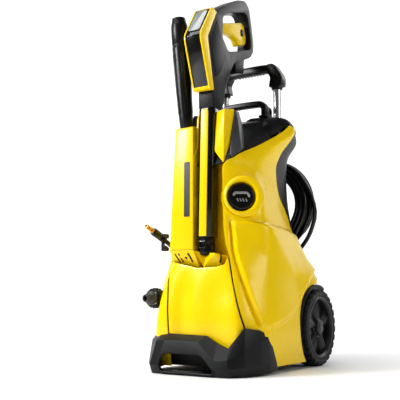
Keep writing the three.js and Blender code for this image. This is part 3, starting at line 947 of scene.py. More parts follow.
class Casing:
    """The casing's outer surface: a ring coordinate round it, and a height.

    The ring coordinate is 0 at the front's middle, 1 at the front edge, 2 at the front corner, 3 on the flank,
    4 at the rear corner, 5 at the rear edge and 6 at the back's middle. It is negative on the left side.
    """

    LEVELS: Tuple[Tuple[float, Tuple[Pair, ...]], ...] = (
        (6, ((90, -164), (126, -112), (138, 20), (138, 130), (104, 137))),
        (70, ((95, -171), (132, -108), (141, 20), (141, 136), (106, 141))),
        (120, ((92, -171), (131, -100), (138, 20), (140, 136), (106, 141))),
        (180, ((80, -163), (123, -92), (130, 20), (138, 134), (106, 142))),
        (205, ((71, -159), (120, -88), (126, 20), (132, 126), (100, 142))),
        (240, ((61, -153), (117, -84), (118, 20), (113, 110), (86, 140))),
        (300, ((50, -150), (112, -84), (108, 20), (95, 86), (72, 136))),
        (350, ((46, -148), (104, -88), (99, 10), (86, 84), (64, 132))),
        (390, ((47, -146), (94, -90), (94, 0), (83, 84), (60, 130))),
        (440, ((54, -138), (92, -74), (92, -4), (83, 84), (60, 126))),
        (475, ((62, -100), (99, -32), (99, 22), (88, 86), (66, 124))),
        (507, ((76, -42), (113, 22), (114, 48), (106, 86), (88, 124))),
        (525, ((88, 0), (119, 48), (118, 62), (108, 86), (88, 120))),
        (545, ((104, 42), (114, 58), (112, 68), (102, 84), (84, 112))),
    )

    def ring(self, z: float) -> List[Vector]:
        """The ring's knots at a height, from the front's middle to the back's."""
        heights = [level[0] for level in self.LEVELS]
        z = min(max(z, heights[0]), heights[-1])
        i = max(k for k in range(len(heights) - 1) if heights[k] <= z)
        t = (z - heights[i]) / (heights[i + 1] - heights[i])
        knots = []
        for k in range(5):
            values = []
            for axis in (0, 1):
                p = [level[1][k][axis] for level in self.LEVELS]
                slope = [self._slope(heights, p, j) for j in (i, i + 1)]
                gap = heights[i + 1] - heights[i]
                values.append((2 * t ** 3 - 3 * t ** 2 + 1) * p[i] + (t ** 3 - 2 * t ** 2 + t) * gap * slope[0]
                              + (3 * t ** 2 - 2 * t ** 3) * p[i + 1] + (t ** 3 - t ** 2) * gap * slope[1])
            knots.append(Vector((values[0], values[1])))
        front = Vector((0, knots[0].y - 5))
        back = Vector((0, knots[4].y + 1))
        return [front, *knots, back]

    @staticmethod
    def _slope(heights: Sequence[float], values: Sequence[float], j: int) -> float:
        """The slope of a smooth curve through values at uneven heights."""
        low, high = max(j - 1, 0), min(j + 1, len(values) - 1)
        return (values[high] - values[low]) / (heights[high] - heights[low])

    def at(self, u: float, z: float) -> Vector:
        """The surface's point at a ring coordinate and a height."""
        side = -1.0 if u < 0 else 1.0
        u = min(abs(u), 6.0)
        knots = self.ring(z)
        i = min(int(u), 5)
        t = u - i
        a = knots[i - 1] if i > 0 else Vector((-knots[1].x, knots[1].y))
        d = knots[i + 2] if i < 5 else Vector((-knots[5].x, knots[5].y))
        b, c = knots[i], knots[i + 1]
        ease = 0.62
        m0, m1 = (c - a) * 0.5 * ease, (d - b) * 0.5 * ease
        spot = (b * (2 * t ** 3 - 3 * t ** 2 + 1) + m0 * (t ** 3 - 2 * t ** 2 + t)
                + c * (3 * t ** 2 - 2 * t ** 3) + m1 * (t ** 3 - t ** 2))
        return Vector((side * spot.x, spot.y, z))

    def find(self, axis: int, value: float, z: float, low: float, high: float) -> float:
        """Find the ring coordinate where the surface crosses a plane.

        Args:
            axis: 0 for X or 1 for Y.
            value: the plane's place.
            z: the height.
            low: where the search starts.
            high: where it ends.

        Returns:
            The ring coordinate.
        """
        rising = self.at(high, z)[axis] > self.at(low, z)[axis]
        for _ in range(30):
            middle = (low + high) / 2
            if (self.at(middle, z)[axis] < value) == rising:
                low = middle
            else:
                high = middle
        return (low + high) / 2

    def patch(
        self, left: Sequence[Pair], right: Sequence[Pair], across: int, down: int,
    ) -> List[List[Vector]]:
        """Fill the surface between two edges with a net.

        Args:
            left: (ring coordinate, z) from the bottom up.
            right: the same for the other edge.
            across: the net's columns.
            down: its rows.

        Returns:
            Rows of points on the surface.
        """
        rows = []
        for j in range(down + 1):
            a, b = along(left, j / down), along(right, j / down)
            row = []
            for i in range(across + 1):
                t = i / across
                u = min(max(a[0] + (b[0] - a[0]) * t, -6.0), 6.0)
                row.append(self.at(u, a[1] + (b[1] - a[1]) * t))
            rows.append(row)
        return rows


def along(line: Sequence[Pair], share: float) -> Pair:
    """A point at a share of a line's count of stretches."""
    spot = share * (len(line) - 1)
    i = min(int(spot), len(line) - 2)
    t = spot - i
    return (line[i][0] + (line[i + 1][0] - line[i][0]) * t, line[i][1] + (line[i + 1][1] - line[i][1]) * t)


def resample(points: Sequence[Pair], count: int) -> List[Pair]:
    """Space points evenly along a line."""
    lengths = [0.0]
    for a, b in zip(points, points[1:]):
        lengths.append(lengths[-1] + math.dist(a, b))
    made = []
    for k in range(count + 1):
        goal = lengths[-1] * k / count
        i = min(max(j for j in range(len(lengths)) if lengths[j] <= goal + 1e-9), len(points) - 2)
        t = (goal - lengths[i]) / max(lengths[i + 1] - lengths[i], 1e-9)
        a, b = points[i], points[i + 1]
        made.append((a[0] + (b[0] - a[0]) * t, a[1] + (b[1] - a[1]) * t))
    return made


def level_at(line: Sequence[Pair], z: float) -> float:
    """Read a (value, z) line at a height."""
    for (a, low), (b, high) in zip(line, line[1:]):
        if low <= z <= high:
            return a + (b - a) * (z - low) / max(high - low, 1e-9)
    return line[0][0] if z < line[0][1] else line[-1][0]


def ring_distance(spot: Pair, line: Sequence[Pair], closed: bool = False) -> float:
    """The shortest distance from a spot to a line."""
    best = 1e9
    pairs = list(zip(line, line[1:])) + ([(line[-1], line[0])] if closed else [])
    for a, b in pairs:
        dx, dy = b[0] - a[0], b[1] - a[1]
        t = max(0.0, min(1.0, ((spot[0] - a[0]) * dx + (spot[1] - a[1]) * dy) / (dx * dx + dy * dy)))
        best = min(best, math.hypot(spot[0] - a[0] - dx * t, spot[1] - a[1] - dy * t))
    return best


def inside(spot: Pair, polygon: Sequence[Pair]) -> bool:
    """Whether a spot lies in a closed polygon."""
    odd = False
    for a, b in zip(polygon, list(polygon[1:]) + [polygon[0]]):
        if (a[1] > spot[1]) != (b[1] > spot[1]) and spot[0] < (b[0] - a[0]) * (spot[1] - a[1]) / (b[1] - a[1]) + a[0]:
            odd = not odd
    return odd


@dataclass
class Relief:
    """How far the side shells stand out of the casing's plain surface."""

    plate: Tuple[Pair, ...] = (
        (-55, 309), (-20, 309), (20, 306), (70, 305), (114, 300), (210, 280), (210, 214), (180, 206),
        (160, 190),
        (149, 177), (128, 152), (108, 128), (85, 112), (60, 101), (35, 94), (12, 91), (3, 94), (-6, 101),
        (-13, 118), (-26, 150), (-38, 192), (-47, 230), (-51, 255), (-52, 290),
    )
    plate_height: float = 7.0
    ramp: float = 6.0
    groove: Tuple[Pair, ...] = ((-55, 309), (-52, 290), (-51, 255), (-47, 230), (-38, 192), (-26, 150),
                                (-13, 118), (-6, 101))
    groove_depth: float = 7.0
    ridge: Tuple[Pair, ...] = ((18, 306), (34, 282), (52, 262), (69, 240), (86, 215), (98, 192))
    ridge_height: float = 5.0
    knob_at: Point = (72.0, -113.0, 360.0)
    knob_turn: float = 0.69
    pod_height: float = 3.0
    left_share: float = 0.3

    def __call__(self, spot: Vector) -> float:
        """The height at a point; the left side stands out less than the right.

        Args:
            spot: a point of the plain surface, in millimetres.

        Returns:
            The height in millimetres.
        """
        x = abs(spot.x)
        place_on = ((x + spot.y) / math.sqrt(2), spot.z)
        height = 0.0
        edge = ring_distance(place_on, self.plate, True)
        if inside(place_on, self.plate):
            height += self.plate_height * smoothstep(0, self.ramp, edge)
            fade = smoothstep(185, 225, spot.z) * smoothstep(0, 10, edge)
            height += self.ridge_height * max(0.0, 1 - ring_distance(place_on, self.ridge) / 46) * fade
        height -= self.groove_depth * math.exp(-(ring_distance(place_on, self.groove) / 3.6) ** 2)
        if spot.x > 0:
            return height + self._pod(spot)
        return height * self.left_share

    def _pod(self, spot: Vector) -> float:
        """The swelling round the knob's collar."""
        axis = Vector((math.sin(self.knob_turn), -math.cos(self.knob_turn), 0))
        away = spot - Vector(self.knob_at)
        reach = (away - axis * away.dot(axis)).length
        return self.pod_height * (1 - smoothstep(46, 74, reach)) if away.dot(axis) > -30 else 0.0


@dataclass
class Shells:
    """Front panel, side shells, rear frame and top cover."""

    casing: Casing = field(default_factory=Casing)
    relief: Relief = field(default_factory=Relief)
    gap: float = 0.45
    floor_z: float = 14.0
    # depth of the near-black sheet of painted shade behind the shells
    shade_sheet_depth: float = 13.0
    hollow_depth: float = 5.0
    panel_left: Tuple[Pair, ...] = ((-58, 6), (-60, 60), (-68, 150), (-77, 236), (-80, 262), (-80, 470))
    panel_top: Tuple[Pair, ...] = ((229, 0.0), (213.5, 0.5), (215, 0.82), (220, 0.94), (234, 1.0))
    panel_right: Tuple[Pair, ...] = ((110, 14), (110, 60), (107, 97), (87, 166), (66, 238))
    neck: Tuple[Pair, ...] = ((66, 238), (58, 262), (52, 300), (48, 350), (48, 425), (56, 438))
    cover_edge: Tuple[Pair, ...] = ((-132, 438), (-112, 453), (-63, 475), (-5, 505), (25, 523), (46, 539))
    rear_edge: Tuple[Pair, ...] = (
        (128, 184), (128, 205), (120, 240), (112, 270), (100, 300), (82, 328), (56, 352), (32, 372),
        (22, 400),
        (20, 440), (36, 475), (56, 508), (64, 524),
    )
    arch_centre: Pair = (122.0, 85.0)
    arch_radius: float = 97.0

    def build(self) -> None:
        """Make all the shells."""
        self._panel()
        for side in (1, -1):
            self._side(side)
        self._rear()
        self._cover()
        self._bay_wall()
        self._paint_inner_shade()

    def _panel(self) -> None:
        """The glossy front panel, with a soft middle bulge."""
        find = self.casing.find
        net = []
        for j in range(61):
            row = []
            for i in range(61):
                share = i / 60
                z = 40 + (level_at(self.panel_top, share) - 40) * j / 60
                left = level_at(self.panel_left, z)
                right = level_at(self.panel_right, z) - 2.6
                row.append(self.casing.at(find(0, left + (right - left) * share, z, -2.5, 2.5), z))
            net.append(row)
        panel = shell("front_panel_look", net, 2.8, 1.0, self._swell)
        dress(panel, YELLOW, "chassis", ["front_panel"])

    def _swell(self, spot: Vector) -> float:
        """The panel's soft middle ridge between two hollows, level with its neighbours at the seams."""
        period = 100.0 if spot.x > 0 else 64.0
        hollow = 0.5 - 0.5 * math.cos(2 * math.pi * min(abs(spot.x), period) / period)
        return -self.hollow_depth * hollow * smoothstep(222, 150, spot.z) * smoothstep(30, 60, spot.z)

    def front_line(self, side: int) -> List[Pair]:
        """The front edge of a side shell, from the floor to the top corner.

        Args:
            side: 1 for the right shell and -1 for the left.

        Returns:
            Pairs of ring coordinate and height, as on the right side.
        """
        find = self.casing.find
        line = []
        if side > 0:
            for z in [self.floor_z + (436 - self.floor_z) * k / 60 for k in range(61)]:
                x = level_at(self.panel_right if z < 238 else self.neck, z)
                line.append((find(0, x, z, 0, 2.5), z))
        else:
            for z in [self.floor_z + (446 - self.floor_z) * k / 60 for k in range(61)]:
                line.append((find(0, 3.6 - level_at(self.panel_left, z), z, 0, 2.5), z))
        edge = [p for p in resample(self.cover_edge, 24) if p[1] > line[-1][1] + 3]
        return line + [(find(1, y, z, 0.6, 4), z) for y, z in edge]

    def back_line(self) -> List[Pair]:
        """The rear edge of a side shell: round the wheel arch, then up the rear frame."""
        find = self.casing.find
        y0, z0 = self.arch_centre
        low = math.pi + math.asin((z0 - self.floor_z) / self.arch_radius)
        arch = []
        for k in range(33):
            angle = low + (1.53 - low) * k / 32
            arch.append((y0 + self.arch_radius * math.cos(angle), z0 + self.arch_radius * math.sin(angle)))
        line = arch + [p for p in resample(self.rear_edge, 60) if p[1] > 186]
        return [(find(1, y - self.gap, z, 1.2, 4.9), z) for y, z in line]

    def _side(self, side: int) -> None:
        """One side shell, with its plate, ridge and knob pod."""
        front = resample_scaled(self.front_line(side), 150)
        back = resample_scaled(self.back_line(), 150)
        net = self.casing.patch(front, back, 84, 150)
        if side < 0:
            net = [[Vector((-p.x, p.y, p.z)) for p in row] for row in net]
        name = "right_side_shell" if side > 0 else "left_side_shell"
        piece = shell(name + "_look", net, 2.8, 0.9, self.relief, inward=float(side))
        if side > 0:
            pit = Vector(self.relief.knob_at)
            axis = Vector((math.sin(self.relief.knob_turn), -math.cos(self.relief.knob_turn), 0))
            aside = Vector((math.cos(self.relief.knob_turn), math.sin(self.relief.knob_turn),
                            0)) * COLLAR_ASIDE
            cut(piece, rod("knob_hole", 44.2, 70, tuple(pit + aside - axis * 40), tuple(axis)))
        else:
            cut(piece, rod("inlet_hole", 13.5, 120, (-117, -210, 151), (0, 1, 0)))
            slot = prism("sleeve_slot",
                         rounded([(-140, 250, 4), (-112, 250, 4), (-112, 296, 4), (-140, 296, 4)]),
                         -150, -90, Axis.Y)
            cut(piece, slot)
        smooth(piece, 50)
        dress(piece, YELLOW, "chassis", [name])

    def _rear(self) -> None:
        """The dark rear frame, from side to side."""
        find = self.casing.find
        line = [p for p in resample(self.rear_edge, 60) if p[1] > 184]
        edge = [(find(1, y, z, 1.2, 4.9), z) for y, z in line]
        parts = []
        for side in (1, -1):
            outer = self.casing.patch(edge, [(5.0, z) for _, z in edge], 26, 60)
            back = self.casing.patch([(5.0, 6 + 518 * k / 80) for k in range(81)], [(6.0, 6 + 518 * k / 80)
                                     for k in range(81)], 24, 80)
            for number, net in enumerate((outer, back)):
                if side < 0:
                    net = [[Vector((-p.x, p.y, p.z)) for p in row] for row in net]
                part = shell(f"rear_{side}_{number}", net, 2.8, 0.0, inward=float(side))
                parts.append(part)
        piece = merge("rear_frame_look", [paint(part, ANTHRACITE) for part in parts])
        smooth(piece, 50)
        dress(piece, ANTHRACITE, "chassis", ["rear_frame"])

    def _cover(self) -> None:
        """The dark top cover, with its raised facet and the two column facets behind the tower."""
        rows: Net = (
            ((0, -128, 430), (30, -130, 432), (54, -131, 437), (62, -112, 451), (70, -63, 474), (85, -5, 504),
             (96, 25, 522), (107, 47, 538), (111, 60, 532), (106, 80, 528), (88, 112, 526), (46, 122, 527),
             (0, 124, 528)),
            ((0, -112, 470), (28, -114, 472), (50, -112, 478), (58, -96, 484), (66, -56, 500), (80, -6, 523),
             (91, 24, 537), (101, 46, 547), (105, 62, 543), (99, 84, 539), (80, 108, 538), (42, 117, 539),
             (0, 118, 540)),
            ((0, -88, 512), (26, -88, 513), (44, -84, 514), (50, -74, 516), (58, -44, 523), (70, -4, 537),
             (80, 24, 547), (90, 46, 553), (93, 64, 551), (86, 84, 548), (70, 102, 547), (38, 110, 548),
             (0, 111, 549)),
            ((0, -58, 530), (20, -56, 531), (32, -52, 532), (40, -44, 533), (48, -26, 538), (56, 2, 547),
             (62, 26, 553), (70, 46, 557), (72, 62, 557), (66, 78, 556), (52, 90, 556), (28, 96, 557),
             (0, 97, 558)),
            ((0, -20, 542), (10, -18, 542), (18, -14, 543), (22, -8, 544), (26, 2, 548), (30, 18, 553),
             (32, 32, 556),
             (34, 44, 558), (34, 54, 559), (30, 64, 559), (22, 72, 559), (12, 76, 559.5), (0, 78, 559.5)),
            ((0, 30, 557), (4, 30, 557), (7, 31, 557), (9, 33, 557.4), (10, 35, 557.8), (11, 38, 558.3),
             (11, 41, 558.8), (10.5, 44, 559.2), (10, 47, 559.4), (9, 49, 559.5), (7, 51, 559.6),
             (4, 52, 559.7),
             (0, 53, 559.7)),
        )
        parts = []
        for side in (1, -1):
            net = surface(rows if side > 0 else mirrored(rows), 5, 6)
            part = shell("cover_half", net, 2.8, 0.0, self._hood, inward=float(side))
            parts.append(paint(part, GREY))
        for side in (1, -1):
            blade = self._blade()
            if side < 0:
                blade.data.transform(Matrix.Scale(-1, 4, (1, 0, 0)))
                tidy_mesh(blade)
            parts.append(paint(blade, MID_GREY))
        piece = merge("top_cover_look", parts)
        tidy_mesh(piece, 1e-5)
        smooth(piece, 35)
        dress(piece, GREY, "chassis", ["top_cover"])

    def _bay_wall(self) -> None:
        """The web that closes the tower's bay towards the right shell's front edge."""
        net = []
        for k in range(31):
            z = 222 + (432 - 222) * k / 30
            x = level_at(self.panel_right if z < 238 else self.neck, z)
            front = self.casing.at(self.casing.find(0, x, z, 0, 2.5), z)
            back = Vector((46.0, -97.0, z))
            tip = front + (back - front).normalized() * 3.4
            net.append([back.lerp(tip, t / 8) for t in range(9)])
        wall = shell("bay_wall", net, 2.0, 0.0)
        smooth(wall, 40)
        dress(wall, YELLOW, "chassis")

    @staticmethod
    def _hood(spot: Vector) -> float:
        """The raised facet on the cover's side, with a curved front edge."""
        x, y = abs(spot.x), spot.y
        edge = 10 + 0.35 * (x - 66) + 26 * smoothstep(80, 50, x)
        return 6.0 * smoothstep(0, 5, y - edge + 22) * smoothstep(18, 34, x)

    @staticmethod
    def _blade() -> bpy.types.Object:
        """The tapered column facet at the tower's side."""
        points = [(46, -122, 436), (56, -128, 439), (73, -110, 464), (65, -102, 505), (60.5, -100, 528),
                  (52.5, -99, 552), (46, -98, 552)]
        back = [(x * 0.96, y + 22, z) for x, y, z in points]
        return bevel(hull("column_facet", points + back), 1.8, 3, 15)

    def _paint_inner_shade(self) -> None:
        """A near-black sheet close behind the shells, seen only through their gaps: painted shade for the casing's
        shaded inside.
        """
        zs = [16 + (505 - 16) * k / 40 for k in range(41)]
        rings = []
        for z in zs:
            ring = []
            for k in range(-30, 30):
                spot = self.casing.at(k / 5, z)
                reach = Vector((spot.x, spot.y, 0))
                ring.append(spot - reach.normalized() * self.shade_sheet_depth)
            rings.append(ring)
        count = 60
        points = [p for ring in rings for p in ring]
        faces = [[j * count + i, j * count + (i + 1) % count, (j + 1) * count + (i + 1) % count,
                  (j + 1) * count + i]
                 for j in range(40) for i in range(count)]
        shade_sheet = mesh_object("casing_liner", points, faces)
        wells = []
        for side in (1, -1):
            at = (side * 100.0, self.arch_centre[0], self.arch_centre[1])
            wells.append(rod("well", self.arch_radius + 3, 70, at, (side, 0, 0)))
        change = shade_sheet.modifiers.new("wall", "SOLIDIFY")
        change.thickness = 2.0 * MM
        bake(shade_sheet)
        tower_bay = box("tower_bay", (-88, -220, 180), (60, -96, 600))
        cut(shade_sheet, *wells, tower_bay)
        smooth(shade_sheet, 40)
        # the sheet carries painted shade, seen through the shells' gaps
        dress(shade_sheet, SHADE_BLACK, "chassis")


def resample_scaled(line: Sequence[Pair], count: int) -> List[Pair]:
    """Space (ring coordinate, z) points evenly, counting a ring step as 60 mm."""
    made = resample([(u * 60, z) for u, z in line], count)
    return [(u / 60, z) for u, z in made]


# ---------------------------------------------------------------- repeats by geometry nodes


def scatter(
    name: str, template: bpy.types.Object, spots: Sequence[Tuple[Vector, Vector]], finish: Finish,
    size: float = 1.0,
) -> bpy.types.Object:
    """Repeat a template at points, turned to each point's direction.

    Args:
        name: the new piece's name.
        template: the mesh to repeat, along Z, which is used up.
        spots: (place in millimetres, direction of Z).
        finish: the repeats' finish.
        size: their scale.

    Returns:
        One mesh with all the repeats.
    """
    points = bpy.data.meshes.new(name + "_points")
    points.from_pydata([p * MM for p, _ in spots], [], [])
    facing = points.attributes.new("facing", "FLOAT_VECTOR", "POINT")
    for entry, (_, direction) in zip(facing.data, spots):
        entry.vector = direction.normalized()
    holder = bpy.data.objects.new(name, points)
    bpy.context.scene.collection.objects.link(holder)
    tree = bpy.data.node_groups.new(name + "_repeat", "GeometryNodeTree")
    tree.interface.new_socket("Geometry", in_out="INPUT", socket_type="NodeSocketGeometry")
    tree.interface.new_socket("Template", in_out="INPUT", socket_type="NodeSocketObject")
    tree.interface.new_socket("Size", in_out="INPUT", socket_type="NodeSocketFloat")
    tree.interface.new_socket("Finish", in_out="INPUT", socket_type="NodeSocketMaterial")
    tree.interface.new_socket("Geometry", in_out="OUTPUT", socket_type="NodeSocketGeometry")
    nodes, links = tree.nodes, tree.links
    source, out = nodes.new("NodeGroupInput"), nodes.new("NodeGroupOutput")
    info, repeat = nodes.new("GeometryNodeObjectInfo"), nodes.new("GeometryNodeInstanceOnPoints")
    read, turn = nodes.new("GeometryNodeInputNamedAttribute"), nodes.new("FunctionNodeAlignRotationToVector")
    real, dressed = nodes.new("GeometryNodeRealizeInstances"), nodes.new("GeometryNodeSetMaterial")
    read.data_type = "FLOAT_VECTOR"
    read.inputs["Name"].default_value = "facing"
    turn.axis = "Z"
    links.new(source.outputs["Template"], info.inputs["Object"])
    links.new(source.outputs["Geometry"], repeat.inputs["Points"])
    links.new(info.outputs["Geometry"], repeat.inputs["Instance"])
    links.new(read.outputs["Attribute"], turn.inputs["Vector"])
    links.new(turn.outputs["Rotation"], repeat.inputs["Rotation"])
    links.new(source.outputs["Size"], repeat.inputs["Scale"])
    links.new(repeat.outputs["Instances"], real.inputs["Geometry"])
    links.new(real.outputs["Geometry"], dressed.inputs["Geometry"])
    links.new(source.outputs["Finish"], dressed.inputs["Material"])
    links.new(dressed.outputs["Geometry"], out.inputs["Geometry"])
    change = holder.modifiers.new("repeat", "NODES")
    change.node_group = tree
    values = {"Template": template, "Size": size, "Finish": finish.material()}
    for item in tree.interface.items_tree:
        if item.in_out == "INPUT" and item.name in values:
            change[item.identifier] = values[item.name]
    bake(holder)
    bpy.data.objects.remove(template)
    smooth(holder, 35)
    return holder


def screw_template() -> bpy.types.Object:
    """A pan-head screw with a cross recess, standing on Z."""
    head = lathe("screw", [(0, -1.5), (3.1, -1.5), (3.3, 0), (3.1, 1.0), (2.2, 1.7), (0, 1.9)], segments=20)
    for turn in (0.0, math.pi / 2):
        blade = box("recess", (-1.9, -0.4, 0.7), (1.9, 0.4, 3))
        blade.data.transform(Matrix.Rotation(turn, 4, "Z"))
        cut(head, blade)
    return head


# ---------------------------------------------------------------- front foot


@dataclass
class Foot:
    """The bumper foot: a faceted skirt with a carrying window."""

    rows: Net = (
        ((0, -199, 0.4), (40, -199, 0.4), (72, -199, 0.4), (90, -196, 0.4), (110, -172, 0.6), (126, -136, 2),
         (132.4, -107, 4), (134, -74, 7)),
        ((0, -206.4, 18), (40, -206.4, 18), (74, -206.4, 18), (93, -202, 18), (115, -174, 19),
         (129.5, -136, 20),
         (134.6, -107.5, 21), (135.4, -79, 22)),
        ((0, -199, 67.5), (22, -199, 66.5), (60, -203, 33), (88, -200, 34), (113, -175, 44), (129, -137, 64),
         (131.6, -110, 75), (132.4, -101, 75)),
        ((0, -181, 79), (30, -181, 78), (56, -183, 64), (81, -184, 55), (111, -170, 94.6), (126, -134, 89),
         (129, -109, 81), (130.4, -102, 80.4)),
        ((0, -171, 77), (30, -171, 76), (56, -172, 62), (80, -172, 53), (104, -162, 92), (119, -130, 86),
         (121, -104, 77), (122.4, -98, 76.4)),
    )
    left: Net = (
        ((40, -199, 0.4), (72, -199, 0.4), (90, -196, 0.4), (110, -172, 0.6), (126, -136, 2),
         (132.4, -107, 4),
         (134, -74, 7)),
        ((40, -206.4, 18), (74, -206.4, 18), (93, -202, 18), (115, -174, 19), (129.5, -136, 20),
         (134.6, -107.5, 21),
         (135.4, -79, 22)),
        ((22, -199, 67.5), (58, -198.4, 67), (83, -192, 66), (109, -170, 66), (128, -136, 68),
         (131.6, -110, 70),
         (132.4, -101, 71)),
        ((28, -181, 79.4), (56, -178, 80), (80, -169, 80), (104, -150, 82), (122, -130, 83), (129, -109, 80),
         (130.4, -102, 79.6)),
        ((28, -171, 77), (56, -168, 77.6), (77, -159, 78), (99, -141, 79.6), (115, -123, 80), (121, -104, 77),
         (122.4, -98, 76.4)),
    )
    window: Tuple[Tuple[float, ...], ...] = (
        (-66, 5, 7), (57, 5, 7), (60, 13, 7), (29, 43, 13), (-60, 43, 10), (-70, 24, 9),
    )
    wall: float = 7.0

    def build(self) -> None:
        """Make the foot with its window and lip."""
        whole = [[(-x, y, z) for x, y, z in reversed(left)] + list(row) for left,
                 row in zip(self.left, self.rows)]
        columns = len(whole[0])
        points = [p for row in whole for p in row]
        faces = [[j * columns + i, j * columns + i + 1, (j + 1) * columns + i + 1, (j + 1) * columns + i]
                 for j in range(len(whole) - 1) for i in range(columns - 1)]
        body = mesh_object("front_foot_look", points, faces)
        change = body.modifiers.new("wall", "SOLIDIFY")
        change.thickness = self.wall * MM
        change.offset = -1.0
        bake(body)
        tidy_mesh(body)
        bevel(body, 2.4, 4, 9)
        cut(body, prism("window", rounded(self.window, 8), -230, -150, Axis.Y))
        tidy_mesh(body, 1e-5)
        smooth(body, 30)
        dress(body, ANTHRACITE, "chassis", ["front_foot"])
        self._window_rim()

    def _window_rim(self) -> None:
        """The rounded lip round the window."""
        ring = rounded(self.window, 5)
        path = [Vector((x, -203.2 + max(0.0, z - 18) * 0.13, z)) for x, z in ring]
        path.append(path[0].copy())
        lip = sweep("foot_window_lip", path, circle(2.0, 14), first=(0, 1, 0))
        dress(lip, GREY, "chassis")
        tray = prism("foot_tray", rounded([(-64, -196, 4), (62, -196, 4), (70, -150, 4), (-70, -150, 4)], 4),
                     0.6, 3.0,
                     Axis.Z)
        bevel(tray, 0.8, 2)
        dress(tray, BLACK, "chassis")


# ---------------------------------------------------------------- front tower


@dataclass
class Tower:
    """Lance pocket, gun holder and side pocket on the front."""

    left: float = -79.0
    split: float = -29.6
    right: float = 44.0
    side: Tuple[Tuple[float, ...], ...] = ((-153, 236, 3), (-140, 516, 4), (-110, 528, 4), (-98, 530),
                                           (-86, 250))
    lance_base: Point = (-44.7, -109.5, 303.3)
    lance_up: Point = (-0.0656, -0.035, 0.9972)

    def build(self) -> None:
        """Make the tower's three parts and its marks."""
        self._pocket()
        self._holder()
        self._scoop()
        self._marks()

    def _pocket(self) -> None:
        """The faceted pocket at the left, with its slotted underside."""
        body = prism("lance_pocket_look", rounded(self.side, 5), self.left, -20, Axis.X)
        front = [(self.left, 251.5), (-20, 252.5), (-28, 518), (-40, 522), (-73, 518)]
        combine(body, prism("front_cut", front, -200, 0, Axis.Y), "INTERSECT")
        tidy_mesh(body, 2e-5)
        bevel(body, 2.2, 3, 20)
        up = Vector(self.lance_up).normalized()
        base = Vector(self.lance_base)
        cut(body, rod("wide", 17.4, 110, tuple(base + up * 172), tuple(up), 0.1),
            rod("narrow", 12.2, 250, tuple(base - up * 6), tuple(up), 0.1))
        cut(body, box("barrel_side", (-23.4, -147, 262), (0, -60, 600)))
        smooth(body, 32)
        dress(body, YELLOW, "chassis", ["lance_pocket"])

    def _holder(self) -> None:
        """The plate behind the gun, its pointed lip and the ledge that carries the barrel."""
        start = self.split + 0.3
        plate = box("plate", (start, -98, 232), (self.right, -90, 520))
        lip = prism("lip", rounded([(-143, 240, 3), (-141, 452, 4), (-126, 474, 8), (-122, 541, 6),
                                    (-114, 548, 4),
                                    (-92, 548), (-92, 236)], 5), start, start + 5.4, Axis.X)
        chin = hull("chin", [(-79, -153, 251), (-20, -152, 252), (-9, -141, 214), (-79.6, -141, 229.5),
                             (-79, -118, 251), (-20, -118, 252), (-9, -118, 210), (-79, -118, 226)])
        point = hull("point", [(-18.5, -151, 250), (30, -147, 244), (0, -142.5, 214.5), (43.5, -139, 238),
                               (41, -138, 214), (-18.5, -118, 236), (43.5, -104, 238), (0, -118, 210),
                               (41, -104, 212)])
        bevel(chin, 1.3, 3, 15)
        bevel(point, 1.3, 3, 15)
        for piece in (chin, point):
            cut(piece, hull("notch",
                            [(-29.6, -163.6, 250), (48, -157, 240), (0, -130, 250), (0, -142.5, 214.5),
                                      (0, -160, 212), (-29.6, -163.6, 266), (48, -157, 266), (0, -130, 266)]))
        parts = [bevel(plate, 1.2), bevel(lip, 1.6, 3), chin, point]
        piece = merge("gun_holder_look", [paint(part, YELLOW) for part in parts])
        smooth(piece, 32)
        dress(piece, YELLOW, "chassis", ["gun_holder"])

    def _scoop(self) -> None:
        """The V-shaped pocket at the right, hollow from the top."""
        body = hull("side_pocket_look", [
            (19, -121, 547), (45, -131, 548.5), (51, -101, 553.5), (50, -96, 553.5), (22, -96, 552),
            (21, -132, 459), (43.5, -133, 431), (51, -108, 450), (50, -96, 452), (22, -96, 462)])
        bevel(body, 1.5, 3, 12)
        hollow = prism("hollow", rounded([(24, -118, 3), (42, -125, 3), (47, -101, 2), (25, -101, 2)], 4),
                       470, 600, Axis.Z)
        cut(body, hollow)
        smooth(body, 32)
        dress(body, YELLOW, "chassis", ["side_pocket"])

    def _front_y(self, z: float) -> float:
        """The Y of the pocket's front face at a height."""
        return -153 + (z - 236) * 13 / 280

    def _marks(self) -> None:
        """The plain black bar; the slanted slots, the round hole and the hook-shaped slot of the underside are flat
        near-black patches of painted shade.
        """
        bar = prism("marking_bar",
                    rounded([(-44.5, 322, 1), (-30.5, 322, 1), (-33.5, 440, 1), (-47.5, 440, 1)], 3),
                    -0.8, 0.35, Axis.Y)
        for vert in bar.data.vertices:
            vert.co.y += self._front_y(vert.co.z / MM) * MM
        dress(bar, BLACK, "chassis")
        # each slot and the hole is a flat near-black patch: painted shade where the opening's inside is shaded
        slots = []
        for k, x in enumerate((-62, -53, -29)):
            slot = rounded([(x + 3, 226, 1), (x + 6.4, 226, 1), (x - 3, 245, 1), (x - 6.4, 245, 1)], 3)
            slots.append(paint(prism(f"slot_{k}", slot, -1.2, 0.5, Axis.Y), SHADE_BLACK))
        hole = lathe("hole", [(0, -0.5), (3.4, -0.5), (3.4, 1.2), (0, 1.2)], (-40, 0, 234), (0, -1, 0), 24)
        slots.append(paint(hole, SHADE_BLACK))
        marks = merge("underside_slots", slots)
        # the hook-shaped slot is likewise a near-black line of painted shade
        hook = sweep("underside_hook", spline([(41.5, -142, 243), (41.5, -141.5, 232), (38, -141.5, 224)], 5),
                     circle(1.6, 12))
        dress(hook, SHADE_BLACK, "chassis")
        for vert in marks.data.vertices:
            x, height = vert.co.x / MM, vert.co.z / MM
            low = 229.5 - (x + 79.6) * 0.22
            vert.co.y += (-153.0 + max(0.0, 251 - height) * 12 / (251 - low)) * MM
        dress(marks, SHADE_BLACK, "chassis")


# ---------------------------------------------------------------- power knob


